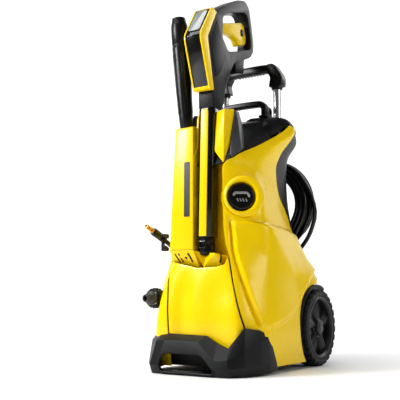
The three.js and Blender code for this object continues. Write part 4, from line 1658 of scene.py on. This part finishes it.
@dataclass
class Knob:
    """The power knob in its big glossy collar."""

    at: Point = (72.0, -113.0, 360.0)
    turn: float = 0.69

    @property
    def axis(self) -> Point:
        """The knob's axis, outwards."""
        return (math.sin(self.turn), -math.cos(self.turn), 0.0)

    def build(self) -> None:
        """Make the collar, the knob and its plain mark."""
        flare = [(5, -12), (34, -12), (43.5, -12)] + arc((35.6, 10.0), 8.6, -25, 110, 14)
        flare += [(31.0, 14.0), (29.9, 9), (29.4, -2), (5, -2), (5, -12)]
        collar = lathe("knob_collar_look", flare, self.at, self.axis, 96)
        side = Vector((math.cos(self.turn), math.sin(self.turn), 0))
        for vert in collar.data.vertices:
            away = vert.co / MM - Vector(self.at)
            reach = (away - Vector(self.axis) * away.dot(Vector(self.axis))).length
            vert.co += side * COLLAR_ASIDE * MM * smoothstep(31, 42, reach)
        dress(collar, YELLOW, "chassis", ["knob_collar"])
        disc = [(0, 0), (26, 0), (27.2, 1), (27.4, 9)] + arc((24.4, 10.4), 3, 0, 80, 6) + [(21, 13),
                                                                                           (0, 11.6)]
        knob = lathe("power_knob_look", disc, self.at, self.axis, 96)
        dress(knob, GLOSS_BLACK, "knob", ["power_knob"])
        self._mark()
        dress_node("knob_spindle", STEEL)
        dress_node("switch_box", BLACK)

    def _mark(self) -> None:
        """A plain pointer grip with a few raised ticks."""
        grip = [(-15, 3, 2), (-11, 8, 3), (10, 8, 3), (15, 1, 2), (11, -2, 2), (9, 4, 2), (-9, 4, 2),
                (-12, 0, 2)]
        parts = [prism("grip_mark", rounded(grip, 5), 0, 2.2, Axis.Z)]
        for k in range(4):
            x = -8 + 4.6 * k
            parts.append(prism("tick",
                               rounded([(x, -3, 0.4), (x + 1.8, -3, 0.4), (x + 4, -8, 0.4),
                                        (x + 2.2, -8, 0.4)]),
                               0, 1.6, Axis.Z))
        for part in parts:
            bevel(part, 0.5, 2)
        mark = merge("knob_mark", [paint(part, SILVER) for part in parts])
        side = Vector((math.cos(self.turn), math.sin(self.turn), 0))
        out = Vector(self.axis)
        base = Vector(self.at) + out * 11.2
        for vert in mark.data.vertices:
            p = vert.co / MM
            vert.co = (base + side * (p.x * 1.32) + Vector(UP) * (p.y * 1.32) + out * p.z) * MM
        tidy_mesh(mark, 1e-7)
        smooth(mark, 40)
        dress(mark, SILVER, "knob")


# ---------------------------------------------------------------- handles


@dataclass
class Handles:
    """Telescopic handle, carry handle and cord eye."""

    tube_x: float = 70.0
    tube_y: float = 72.0
    tube_radius: float = 9.5
    elbow_z: float = 640.0

    def build(self) -> None:
        """Make the tubes, the grip, the carry bar and the eye."""
        for side, name in ((-1, "handle_tube_left"), (1, "handle_tube_right")):
            wall = [(8, 240), (self.tube_radius, 240), (self.tube_radius, 658), (8, 658), (8, 240)]
            tube = lathe(name + "_look", wall, (side * self.tube_x, self.tube_y, 0), UP, 48)
            dress(tube, ALUMINIUM, "handle", [name])
            ring = lathe(name + "_gland",
                         [(10, 549), (13, 549), (13, 556), (11.6, 558), (10, 558), (10, 549)],
                         (side * self.tube_x, self.tube_y, 0), UP, 40)
            dress(ring, BLACK, "chassis")
        self._grip()
        self._carry()

    def _grip(self) -> None:
        """The black bar between two faceted elbows."""
        half = [(70, 664), (67, 676), (58, 684), (44, 687), (22, 688)]
        knots = [(x, self.tube_y, z) for x, z in half] + [(0, self.tube_y, 688)]
        knots += [(-x, self.tube_y, z) for x, z in reversed(half)]
        section = rounded([(-10.5, -10, 7), (10.5, -10, 7), (10.5, 10, 8), (-10.5, 10, 8)], 6)
        bar = sweep("bar", spline(knots, 8), section, first=(0, 1, 0))
        parts = [bar]
        for side in (-1, 1):
            elbow = [(54, self.elbow_z, 3), (87, self.elbow_z, 5), (88.5, 663, 10), (66, 696.5, 9),
                     (49, 696, 5),
                     (50, 676, 4), (58, 664, 6)]
            body = prism("elbow", rounded([(side * x, z, r) for x, z, r in elbow], 6), self.tube_y - 12.6,
                         self.tube_y + 12.6, Axis.Y)
            bevel(body, 3.2, 4)
            socket = lathe("socket", [(0, 636), (9.7, 636), (9.7, 658.4), (0, 658.4)],
                           (side * self.tube_x, self.tube_y, 0), UP, 40)
            cut(body, socket)
            parts.append(body)
            collar = lathe("collar",
                           [(10.2, 633), (12.6, 634), (13.4, 640), (13.4, 646), (10.2, 646), (10.2, 633)],
                           (side * self.tube_x, self.tube_y, 0), UP, 40)
            parts.append(collar)
        for k in range(9):
            x = -32 + 8 * k
            rib = box("rib", (x - 1.6, self.tube_y - 9, 676.6), (x + 1.6, self.tube_y + 9, 680))
            parts.append(bevel(rib, 0.8, 2))
        grip = merge("handle_grip_look", [paint(part, BLACK) for part in parts])
        smooth(grip, 40)
        dress(grip, BLACK, "handle", ["handle_grip"])

    def _carry(self) -> None:
        """The carry bar on the cover, and the eye beside it."""
        knots = [(-49, 30, 563), (-49, 30, 580), (-46, 30, 591), (-36, 30, 593), (0, 30, 594), (44, 30, 593),
                 (54, 30, 589), (58, 31, 583), (58, 34, 572), (57, 36, 563)]
        section = rounded([(-9, -10, 6), (9, -10, 6), (9, 10, 6), (-9, 10, 6)], 6)
        bar = sweep("carry_handle_look", spline(knots, 7), section,
                    lambda t: (0.78 if 0.15 < t < 0.85 else 0.86, 0.98), first=(0, 1, 0))
        bevel(bar, 1.4, 2, 50)
        foot_left = box("foot", (-60, 19, 560.3), (-38, 41, 566))
        foot_right = box("foot", (46, 22, 560.3), (66, 44, 566))
        carry = merge("carry_handle_look", [paint(bar, BLACK), paint(bevel(foot_left, 2, 3), BLACK),
                                            paint(bevel(foot_right, 2, 3), BLACK)])
        smooth(carry, 40)
        dress(carry, BLACK, "chassis", ["carry_handle"])
        eye = prism("eye_bracket_look", rounded([(52, 556), (52, 592, 10), (74, 592, 10), (74, 556)], 8), 44,
                    56, Axis.X)
        bevel(eye, 2, 3)
        cut(eye, rod("eye_hole", 6.4, 30, (36, 63, 580), (1, 0, 0), 0.1))
        smooth(eye, 40)
        dress(eye, BLACK, "chassis", ["eye_bracket"])


# ---------------------------------------------------------------- wheels


@dataclass
class Wheel:
    """One wheel: tyre with tread blocks, faceted rim and hub cap."""

    side: int
    centre_y: float = 122.0
    radius: float = 85.0
    inner: float = 106.0
    outer: float = 150.0
    blocks: int = 26
    spokes: int = 5

    @property
    def name(self) -> str:
        """The wheel's body name."""
        return "right_wheel" if self.side > 0 else "left_wheel"

    @property
    def prefix(self) -> str:
        """The start of its nodes' names."""
        return self.name.split("_")[0]

    def _at(self) -> Point:
        """The axle's point on the wheel's inner face."""
        return (self.side * self.inner, self.centre_y, self.radius)

    def build(self) -> None:
        """Make the wheel and the strip round its arch."""
        self._tyre()
        self._rim()
        self._strip()

    def _tyre(self) -> None:
        """A carcass a little under size, and the blocks that reach the full radius."""
        r, width = self.radius, self.outer - self.inner
        profile = [(69, 1), (79, 0.6), (81.6, 4), (82.2, 8), (82.2, width - 9), (81, width - 4),
                   (77.5, width - 1.4),
                   (73, width - 1.6), (69.4, width - 3), (69, 1)]
        tyre = lathe("carcass", profile, self._at(), (self.side, 0, 0), 96)
        spots = []
        for row, x in enumerate((self.inner + 11.5, self.inner + 30.5)):
            for k in range(self.blocks):
                angle = 2 * math.pi * (k + 0.5 * row + 0.13) / self.blocks
                out = Vector((0, math.cos(angle), math.sin(angle)))
                hub = Vector((self.side * x, self.centre_y, self.radius))
                spots.append((hub + out * (r - 4.6), out))
        block = prism("block",
                      rounded([(-8.6, -6.2, 1.5), (8.6, -8.2, 1.5), (8.6, 6.2, 1.5), (-8.6, 8.2, 1.5)], 3), 0,
                      4,
                      Axis.Z)
        bevel(block, 0.8, 2)
        blocks = scatter("tread_blocks", block, spots, TYRE)
        lugs = []
        for k in range(self.blocks):
            angle = 2 * math.pi * (k + 0.63) / self.blocks
            out = Vector((0, math.cos(angle), math.sin(angle)))
            lugs.append((Vector((self.side * (self.outer - 5.2), self.centre_y, self.radius)) + out * 76.4,
                         out))
        lug = prism("lug", rounded([(-3.4, -5.4, 1), (3.4, -6.4, 1), (3.4, 6.4, 1), (-3.4, 5.4, 1)], 3), -1.5,
                    6.2, Axis.Z)
        bevel(lug, 0.7, 2)
        sides = scatter("side_blocks", lug, lugs, TYRE)
        piece = merge(self.name + "_tyre_look", [paint(tyre, TYRE), blocks, sides])
        smooth(piece, 38)
        dress(piece, TYRE, self.name, [self.prefix + "_tyre"])

    def _rim(self) -> None:
        """The dished rim: a ring, five faceted spokes and a hub with its cap."""
        width = self.outer - self.inner
        ring = lathe("rim_ring",
                     [(62, 3), (68.6, 3), (68.6, width - 2.6), (67.4, width - 1.6), (64.5, width - 1.6),
                                  (61, width - 6), (59, width - 15), (59, 8), (62, 3)],
                     self._at(), (self.side, 0, 0), 96)
        dish = lathe("rim_dish", [(6.6, 14), (60, 14), (60, width - 20), (36, width - 17), (22, width - 14),
                                  (6.6, width - 14), (6.6, 14)], self._at(), (self.side, 0, 0), 80)
        hub = lathe("rim_hub", [(6.6, 2), (16, 2), (16, 14), (23, 16), (23, width - 12), (21.5, width - 9),
                                (6.6, width - 9), (6.6, 2)], self._at(), (self.side, 0, 0), 60)
        parts = [ring, dish, hub]
        for k in range(self.spokes):
            parts.append(self._spoke(2 * math.pi * k / self.spokes + 0.35))
        rim = merge(self.name + "_rim_look", [paint(part, RIM) for part in parts])
        smooth(rim, 24)
        dress(rim, RIM, self.name, [self.prefix + "_rim"])
        cap = lathe(self.name + "_cap_look",
                    [(0, width - 8.6), (20, width - 8.6), (20.4, width - 6), (17, width - 3.2),
                                              (9, width - 2.0), (0, width - 1.7)], self._at(),
                                              (self.side, 0, 0), 5)
        bevel(cap, 1.4, 3, 12)
        dress(cap, RIM, self.name, [self.prefix + "_hub_cap"])

    def _spoke(self, angle: float) -> bpy.types.Object:
        """One spoke, ridged along its middle and wider at the rim."""
        width = self.outer - self.inner
        base, top = width - 19, width - 6.5
        shape = [(18, -11), (61, -21), (61, 21), (18, 11)]
        points = [(r, t, base) for r, t in shape] + [(20, -7, top - 4), (58, -14, top - 7), (60, 0, top - 1),
                                                     (58, 14, top - 7), (20, 7, top - 4), (19, 0, top)]
        faces = [(0, 3, 2, 1), (0, 1, 5, 4), (4, 5, 6, 9), (9, 6, 7, 8), (8, 7, 2, 3), (1, 2, 7, 6, 5),
                 (0, 4, 9, 8, 3)]
        turned = []
        for r, t, h in points:
            y = r * math.cos(angle) - t * math.sin(angle)
            z = r * math.sin(angle) + t * math.cos(angle)
            turned.append((self.side * (self.inner + h), self.centre_y + y, self.radius + z))
        return bevel(mesh_object("spoke", turned, faces), 0.7, 2, 12)

    def _strip(self) -> None:
        """The dark strip in the wheel arch."""
        outer = arc((0, 0), 95.8, 66, 213, 60)
        inner = arc((0, 0), 88.6, 213, 66, 60)
        outline = [(self.centre_y + u, self.radius + v) for u, v in outer + inner]
        low, high = (102.0, 141.0) if self.side > 0 else (-141.0, -102.0)
        strip = prism(self.prefix + "_fender_look", outline, low, high, Axis.X)
        bevel(strip, 1.2, 3, 40)
        dress(strip, ANTHRACITE, "chassis", [self.prefix + "_fender_strip"])


# ---------------------------------------------------------------- water inlet and rear fittings


@dataclass
class Fittings:
    """Water inlet at the front left, and the outlet, hook, gland and clip."""

    inlet_x: float = -117.0
    inlet_z: float = 151.0

    def build(self) -> None:
        """Make all the fittings."""
        self._inlet()
        self._rear()
        self._screws()

    def _inlet(self) -> None:
        """Socket, ribbed nut and stepped coupling."""
        at, back = (self.inlet_x, 0.0, self.inlet_z), (0, 1, 0)
        nut_profile = [(15, -161), (17.5, -161), (20, -158.6), (20.6, -156), (20.6, -142), (19, -139),
                       (15, -139),
                       (15, -161)]
        parts = [lathe("nut", nut_profile, at, back, 60)]
        for k in range(16):
            angle = 2 * math.pi * k / 16
            rib = box("rib", (-1.6, -157, 19.6), (1.6, -141, 21.6))
            bevel(rib, 0.7, 2)
            rib.data.transform(Matrix.Rotation(angle, 4, "Y"))
            rib.data.transform(Matrix.Translation(Vector((self.inlet_x, 0, self.inlet_z)) * MM))
            parts.append(rib)
        nut = merge("inlet_nut_look", [paint(part, BLACK) for part in parts])
        smooth(nut, 40)
        dress(nut, BLACK, "chassis", ["inlet_nut"])
        spout = [(5, -186), (7.4, -186), (8.5, -184.6), (8.5, -181), (7.4, -180), (7.4, -177.6),
                 (8.5, -176.8),
                 (8.5, -174.4), (10, -172), (13.6, -170.4), (14.5, -168.6), (14.5, -162), (13.4, -161),
                 (9, -161),
                 (9, -140), (5, -140), (5, -186)]
        coupling = lathe("inlet_coupling_look", spout, at, back, 60)
        dress(coupling, MID_GREY, "chassis", ["inlet_coupling"])
        socket = [(7, -138), (12, -138), (12, -60), (0, -60), (0, -100), (7, -100), (7, -138)]
        elbow = merge("inlet_socket_look", [
            paint(lathe("socket", socket, at, back, 40), BLACK),
            paint(rod("branch", 12, 72, (self.inlet_x, -60, self.inlet_z), (1, 0, 0)), BLACK),
        ])
        smooth(elbow, 40)
        dress(elbow, BLACK, "chassis", ["inlet_socket"])

    def _rear(self) -> None:
        """Cable gland, hose outlet, hose hook and the clip at the left."""
        gland = [(4, 0), (13.4, 0), (14, 0.8), (14, 3.4), (13, 4.4), (9.4, 5)]
        for k in range(4):
            base = 6.2 + k * 3.8
            gland += [(8.9, base), (8.9, base + 1.8), (7.4, base + 2.4), (7.4, base + 3.4)]
        gland += [(8, 22), (4, 22), (4, 0)]
        dress(lathe("cable_gland_look", gland, (-50, 142.6, 110), (0, 1, 0), 40), BLACK, "chassis",
              ["cable_gland"])
        outlet = [
            lathe("outlet", [(0, 0), (11, 0), (11, 3), (12.6, 4), (12.6, 9), (11, 10), (11, 28), (9.6, 29.6),
                             (0, 30)],
                  (-6, 142.8, 233), (0, 1, 0), 48),
            lathe("outlet_arm", [(0, 0), (8.6, 0.4), (9.5, 1.6), (9.5, 14), (8.2, 15), (8.2, 17), (9.5, 18),
                                 (9.5, 24),
                                 (8.2, 26), (0, 26)], (-12, 170, 232.4), (1, 0, 0.02), 48),
        ]
        body = merge("hose_outlet_look", [paint(part, BLACK) for part in outlet])
        smooth(body, 40)
        dress(body, BLACK, "chassis", ["hose_outlet"])
        shelf = prism("shelf",
                      rounded([(-15.5, 141, 1), (15.5, 141, 1), (15.5, 197.6, 4), (-15.5, 197.6, 4)], 4),
                      430.5, 441.2, Axis.Z)
        lug = prism("lug", rounded([(-15.5, 431, 3), (15.5, 431, 3), (15.5, 473, 8), (-15.5, 473, 8)], 5),
                    193.2, 197.8, Axis.Y)
        plate = prism("plate",
                      rounded([(-33.6, 396.4, 6), (33.6, 396.4, 6), (33.6, 469.6, 6), (-33.6, 469.6, 6)], 5),
                      135, 141, Axis.Y)
        hook = merge("hose_hook_look", [paint(bevel(part, 1.4, 3), BLACK) for part in (shelf, lug, plate)])
        smooth(hook, 40)
        dress(hook, BLACK, "chassis", ["hose_hook"])
        clip = prism("hose_clip_look",
                     rounded([(-133, 254, 3), (-120.6, 254, 3), (-120.6, 292, 3), (-133, 292, 3)], 4),
                     -106, -94, Axis.Y)
        cut(clip, rod("clip_bore", 10.2, 60, (-122, -134, 287), (0, 0.936, -0.351), 0.1))
        smooth(clip, 40)
        dress(clip, BLACK, "chassis", ["hose_clip"])

    def _screws(self) -> None:
        """Screws that hold the rear frame and the hook plate."""
        casing = Casing()
        spots = []
        for z in (60, 200, 320, 500):
            for side in (-1, 1):
                spot = casing.at(side * 5.25, z)
                spots.append((Vector((spot.x, spot.y + 0.6, spot.z)), Vector((0, 1, 0))))
        for x in (-27, 27):
            for z in (404, 462):
                spots.append((Vector((x, 141.2, z)), Vector((0, 1, 0))))
        screws = scatter("rear_screws", screw_template(), spots, STEEL)
        dress(screws, STEEL, "chassis")


# ---------------------------------------------------------------- trigger gun


@dataclass
class Gun:
    """The stored trigger gun, barrel down."""

    half: float = 18.0
    head_half: float = 22.0
    body: Tuple[Tuple[float, ...], ...] = (
        (-121.4, 768, 4), (-158.4, 703, 8), (-133.4, 592, 4), (-132, 556), (-98, 556), (-84, 575, 8),
        (-81, 606, 12),
        (-64, 641, 10), (-36, 680, 5), (-31, 655, 4), (4, 663, 5), (8, 698, 5), (38, 711, 10), (54, 729, 8),
        (55, 752, 8), (44, 800, 10), (34, 832, 9), (14, 842.5, 8), (-22, 832, 10), (-78, 800, 12),
    )
    finger: Tuple[Tuple[float, ...], ...] = (
        (-88, 770, 8), (-90, 722, 6), (-64, 697, 9), (-25, 709, 6), (39, 731, 8), (41, 748, 6), (27, 806, 9),
        (12, 813, 8), (-66, 787, 8),
    )
    bezel: Tuple[Tuple[float, ...], ...] = (
        (-140, 777, 9), (-189, 701, 12), (-150, 590, 9), (-134, 592, 2), (-159, 703, 6), (-122, 768.4, 2),
    )
    crest: Pair = (-140.0, 777.0)
    corner: Pair = (-189.0, 701.0)
    foot: Pair = (-150.0, 590.0)

    def build(self) -> None:
        """Make all the gun's pieces."""
        self._body()
        self._head()
        self._trigger()
        self._barrel()

    def _body(self) -> None:
        """The loop-shaped body, softly rounded, with a finger hole."""
        body = prism("gun_body_look", rounded(self.body, 7), -self.half, self.half, Axis.X)
        hole = prism("finger", rounded(self.finger, 7), -self.half - 2, self.half + 2, Axis.X)
        cut(body, hole)
        tidy_mesh(body, 2e-5)
        bevel(body, 4.2, 4, 35)
        dress(body, GREY, "gun", ["gun_body"])
        for side in (-1, 1):
            inlay = [(-112, 758, 8), (-146, 700, 10), (-124, 622, 8), (-98, 640, 10), (-76, 690, 8)]
            panel = prism("gun_cheek", rounded(inlay, 6), side * (self.half - 0.2) - 0.8,
                          side * (self.half - 0.2) + 0.8,
                          Axis.X)
            bevel(panel, 0.6, 2)
            panel.name = "gun_cheek_" + ("right" if side > 0 else "left")
            dress(panel, ANTHRACITE, "gun")

    @staticmethod
    def _slab(width: float, length: float, depth: float, centre: Pair, along_yz: Pair,
              corner: float) -> bpy.types.Object:
        """A slab in the gun's leaning front face, with rounded corners."""
        outline = rounded([(-width / 2, -length / 2, corner), (width / 2, -length / 2, corner),
                           (width / 2, length / 2, corner), (-width / 2, length / 2, corner)], 6)
        slab = prism("slab", outline, -depth, depth, Axis.Z)
        lean = Vector((0, -along_yz[0], -along_yz[1])).normalized()
        out = Vector((0, -lean.z, lean.y)) if lean.z > 0 else Vector((0, lean.z, -lean.y))
        for vert in slab.data.vertices:
            p = vert.co / MM
            vert.co = (Vector((p.x, centre[0], centre[1])) + lean * p.y + out * p.z) * MM
        tidy_mesh(slab)
        return slab

    def _inset(self, name: str, width: float, low: float, high: float, upper: bool,
               lower: bool) -> bpy.types.Object:
        """A layer of the head that follows its bent face.

        Args:
            name: the piece's name.
            width: its half width.
            low, high: how far it lies out of the face.
            upper: whether it covers the face above the bend.
            lower: whether it covers the face below the bend.

        Returns:
            The layer as one prism.
        """
        crest, bend, foot = (Vector((0, *spot)) for spot in (self.crest, self.corner, self.foot))
        down, under = (bend - crest).normalized(), (foot - bend).normalized()
        out_up = Vector((0, down.z, -down.y))
        out_low = Vector((0, under.z, -under.y))
        mitre = (out_up + out_low).normalized()
        reach = 1 / mitre.dot(out_up)
        spots = [(crest + down * 6, out_up)] if upper else []
        spots.append((bend, mitre * reach))
        if lower:
            spots.append((foot - under * 8, out_low))
        ring = [spot + out * low for spot, out in spots] + [spot + out * high for spot,
                                                            out in reversed(spots)]
        return prism(name, [(p.y, p.z) for p in ring], -width, width, Axis.X)

    def _head(self) -> None:
        """The thin yellow rim with a glossy face: a display above the bend and a key panel below."""
        bezel = prism("gun_bezel_look", rounded(self.bezel, 8), -self.head_half, self.head_half, Axis.X)
        bevel(bezel, 3.2, 4, 35)
        opening = bevel(self._inset("opening", self.head_half - 3.9, -5, 12, True, True), 3.0, 4, 60)
        cut(bezel, opening)
        smooth(bezel, 36)
        dress(bezel, YELLOW, "gun", ["gun_bezel"])
        inner = self.head_half - 4.2
        low = bevel(self._inset("gun_panel_look", inner, -5.6, -1.6, False, True), 0.6, 2)
        smooth(low, 36)
        dress(low, GLOSS_BLACK, "gun", ["gun_panel"])
        up = bevel(self._inset("display_frame", inner, -5.6, -1.4, True, False), 0.6, 2)
        lean = (self.corner[0] - self.crest[0], self.corner[1] - self.crest[1])
        glass = self._slab(29, 66, 0.8, (-164.4, 740.4), lean, 7)
        bevel(glass, 0.4, 2)
        screen = merge("gun_display_look", [paint(up, GLOSS_BLACK), paint(glass, PALE_LCD)])
        smooth(screen, 36)
        dress(screen, PALE_LCD, "gun", ["gun_display"])

    def _trigger(self) -> None:
        """The yellow lever and its sliding lock."""
        lever = [(-74, 762, 6), (10, 790, 8), (24, 789, 8), (36, 757, 6), (31, 742, 6), (1, 731, 5),
                 (-9, 744, 6),
                 (-30, 747, 6), (-74, 742, 6)]
        trigger = prism("gun_trigger_look", rounded(lever, 6), -8.8, 8.8, Axis.X)
        bevel(trigger, 2.2, 3)
        cut(trigger, box("slot", (-20, 8, 758), (20, 20, 774)))
        smooth(trigger, 36)
        dress(trigger, YELLOW, "trigger", ["gun_trigger"])
        lock = bevel(box("gun_trigger_lock_look", (-11, 8.4, 758.4), (11, 19.6, 773.6)), 1.8, 3)
        dress(lock, BLACK, "trigger_lock", ["gun_trigger_lock"])

    def _barrel(self) -> None:
        """The barrel: flat left half, round right half, yellow stripe, and a dark bayonet."""
        outline = rounded([(-19, -131, 6), (-9.6, -137, 2), (9.6, -137, 2), (19, -129, 12), (19, -101, 10),
                           (-19, -101, 8)], 7)
        barrel = prism("gun_barrel_look", outline, 277, 555.4, Axis.Z)
        bevel(barrel, 1.4, 2, 60)
        cut(barrel, prism("groove", rounded([(-9.4, 279), (9.4, 279), (9.4, 553.5, 8), (-9.4, 553.5, 8)], 6),
                          -141,
                          -134.6, Axis.Y))
        smooth(self._lean(barrel), 34)
        dress(barrel, GLOSS_BLACK, "gun", ["gun_barrel"])
        stripe = prism("gun_stripe_look", rounded([(-9, 279.4), (9, 279.4), (9, 553, 8), (-9, 553, 8)], 6),
                       -138.4,
                       -134.8, Axis.Y)
        bevel(self._lean(stripe), 1.1, 3)
        dress(stripe, YELLOW, "gun", ["gun_stripe"])
        profile = [(9, 239.4), (12.6, 239.4), (14, 240.4), (15.6, 242.6), (16, 246), (16, 250), (14.6, 251),
                   (14.6, 253), (16, 254), (16, 262), (17.4, 263), (18, 264.6), (18, 275.6), (17, 276.6),
                   (9, 276.6),
                   (9, 239.4)]
        bayonet = [paint(lathe("bayonet", profile, (0, -119, 0), UP, 64), BLACK)]
        latch = prism("latch", rounded([(-8, 254, 2), (8, 254, 2), (8, 270, 2), (-8, 270, 2)], 4), -138.6,
                      -133, Axis.Y)
        bevel(latch, 1, 2)
        cut(latch, prism("latch_window",
                         rounded([(-5, 257, 1.5), (5, 257, 1.5), (5, 266, 1.5), (-5, 266, 1.5)], 4),
                         -140, -136.4, Axis.Y))
        bayonet.append(paint(latch, GLOSS_BLACK))
        for x in (-1, 1):
            lug = bevel(box("lug", (x * 15.4 - 1.6, -127, 246), (x * 15.4 + 1.6, -113, 262)), 0.8, 2)
            bayonet.append(paint(lug, BLACK))
        piece = merge("gun_bayonet_look", bayonet)
        smooth(self._lean(piece), 36)
        dress(piece, BLACK, "gun", ["gun_bayonet"])

    @staticmethod
    def _lean(piece: bpy.types.Object) -> bpy.types.Object:
        """Lean a barrel piece forwards towards its lower end."""
        for vert in piece.data.vertices:
            vert.co.y -= 10 * MM * min(1.0, max(0.0, (555 - vert.co.z / MM) / 316))
        return piece


# ---------------------------------------------------------------- spray lance


@dataclass
class Lance:
    """The stored lance, head up."""

    base: Point = (-44.7, -109.5, 303.3)
    up: Point = (-0.0656, -0.035, 0.9972)

    def build(self) -> None:
        """Make the head, the tube and the collar."""
        head = [(0, 180.2), (5.8, 180.2), (9, 181), (9.6, 184), (13, 205), (13.2, 209), (12.6, 210.5),
                (12.6, 213),
                (13.9, 214.5), (15.2, 240), (17.6, 300), (19, 392), (19, 404), (18.2, 405.4), (18.2, 408),
                (19, 409.4),
                (18.8, 440), (18.4, 452), (17.6, 456), (16.4, 459), (15, 469.4), (12, 469.8), (11, 466),
                (4, 462),
                (2, 458), (0, 458)]
        parts = [paint(lathe("head", head, self.base, self.up, 64), BLACK)]
        for k in range(18):
            angle = 2 * math.pi * k / 18
            low = aim([((15.1) * math.cos(angle), 15.1 * math.sin(angle), 250)], self.base, self.up)[0]
            high = aim([((18.4) * math.cos(angle), 18.4 * math.sin(angle), 386)], self.base, self.up)[0]
            along_rib = high - low
            parts.append(paint(rod("rib", 1.1, along_rib.length, tuple(low), tuple(along_rib), 0.5), BLACK))
        piece = merge("lance_head_look", parts)
        smooth(piece, 40)
        dress(piece, BLACK, "lance_nozzle", ["lance_head"])
        dress(rod("lance_tube_look", 5, 180, aim([(0, 0, 30)], self.base, self.up)[0][:], self.up), ALUMINIUM,
              "lance",
              ["lance_tube"])
        collar = [(0, 0), (7.4, 0), (8, 0.8), (8, 13), (9, 14.6), (11, 16), (11, 28), (9.8, 29), (9.8, 32),
                  (11, 33),
                  (11, 50), (10, 53), (8, 57.4), (5.2, 58), (5.2, 30), (0, 30)]
        dress(lathe("lance_collar_look", collar, self.base, self.up, 48), BLACK, "lance", ["lance_collar"])


# ---------------------------------------------------------------- assembly


def main() -> None:
    """Build the whole machine."""
    logging.basicConfig(level=logging.INFO)
    Studio().build()
    Hose().build()
    Shells().build()
    Foot().build()
    Tower().build()
    Knob().build()
    Handles().build()
    for side in (-1, 1):
        Wheel(side).build()
    Fittings().build()
    Gun().build()
    Lance().build()
    hidden = {"base_pan": ANTHRACITE, "axle": STEEL, "motor_stator": ALUMINIUM, "motor_rotor": STEEL,
              "wobble_plate": STEEL, "pump_head": ALUMINIUM, "pump_piston_1": STEEL, "pump_piston_2": STEEL,
              "pump_piston_3": STEEL, "start_capacitor": MID_GREY}
    for name, finish in hidden.items():
        dress_node(name, finish)


if __name__ == "__main__":
    main()
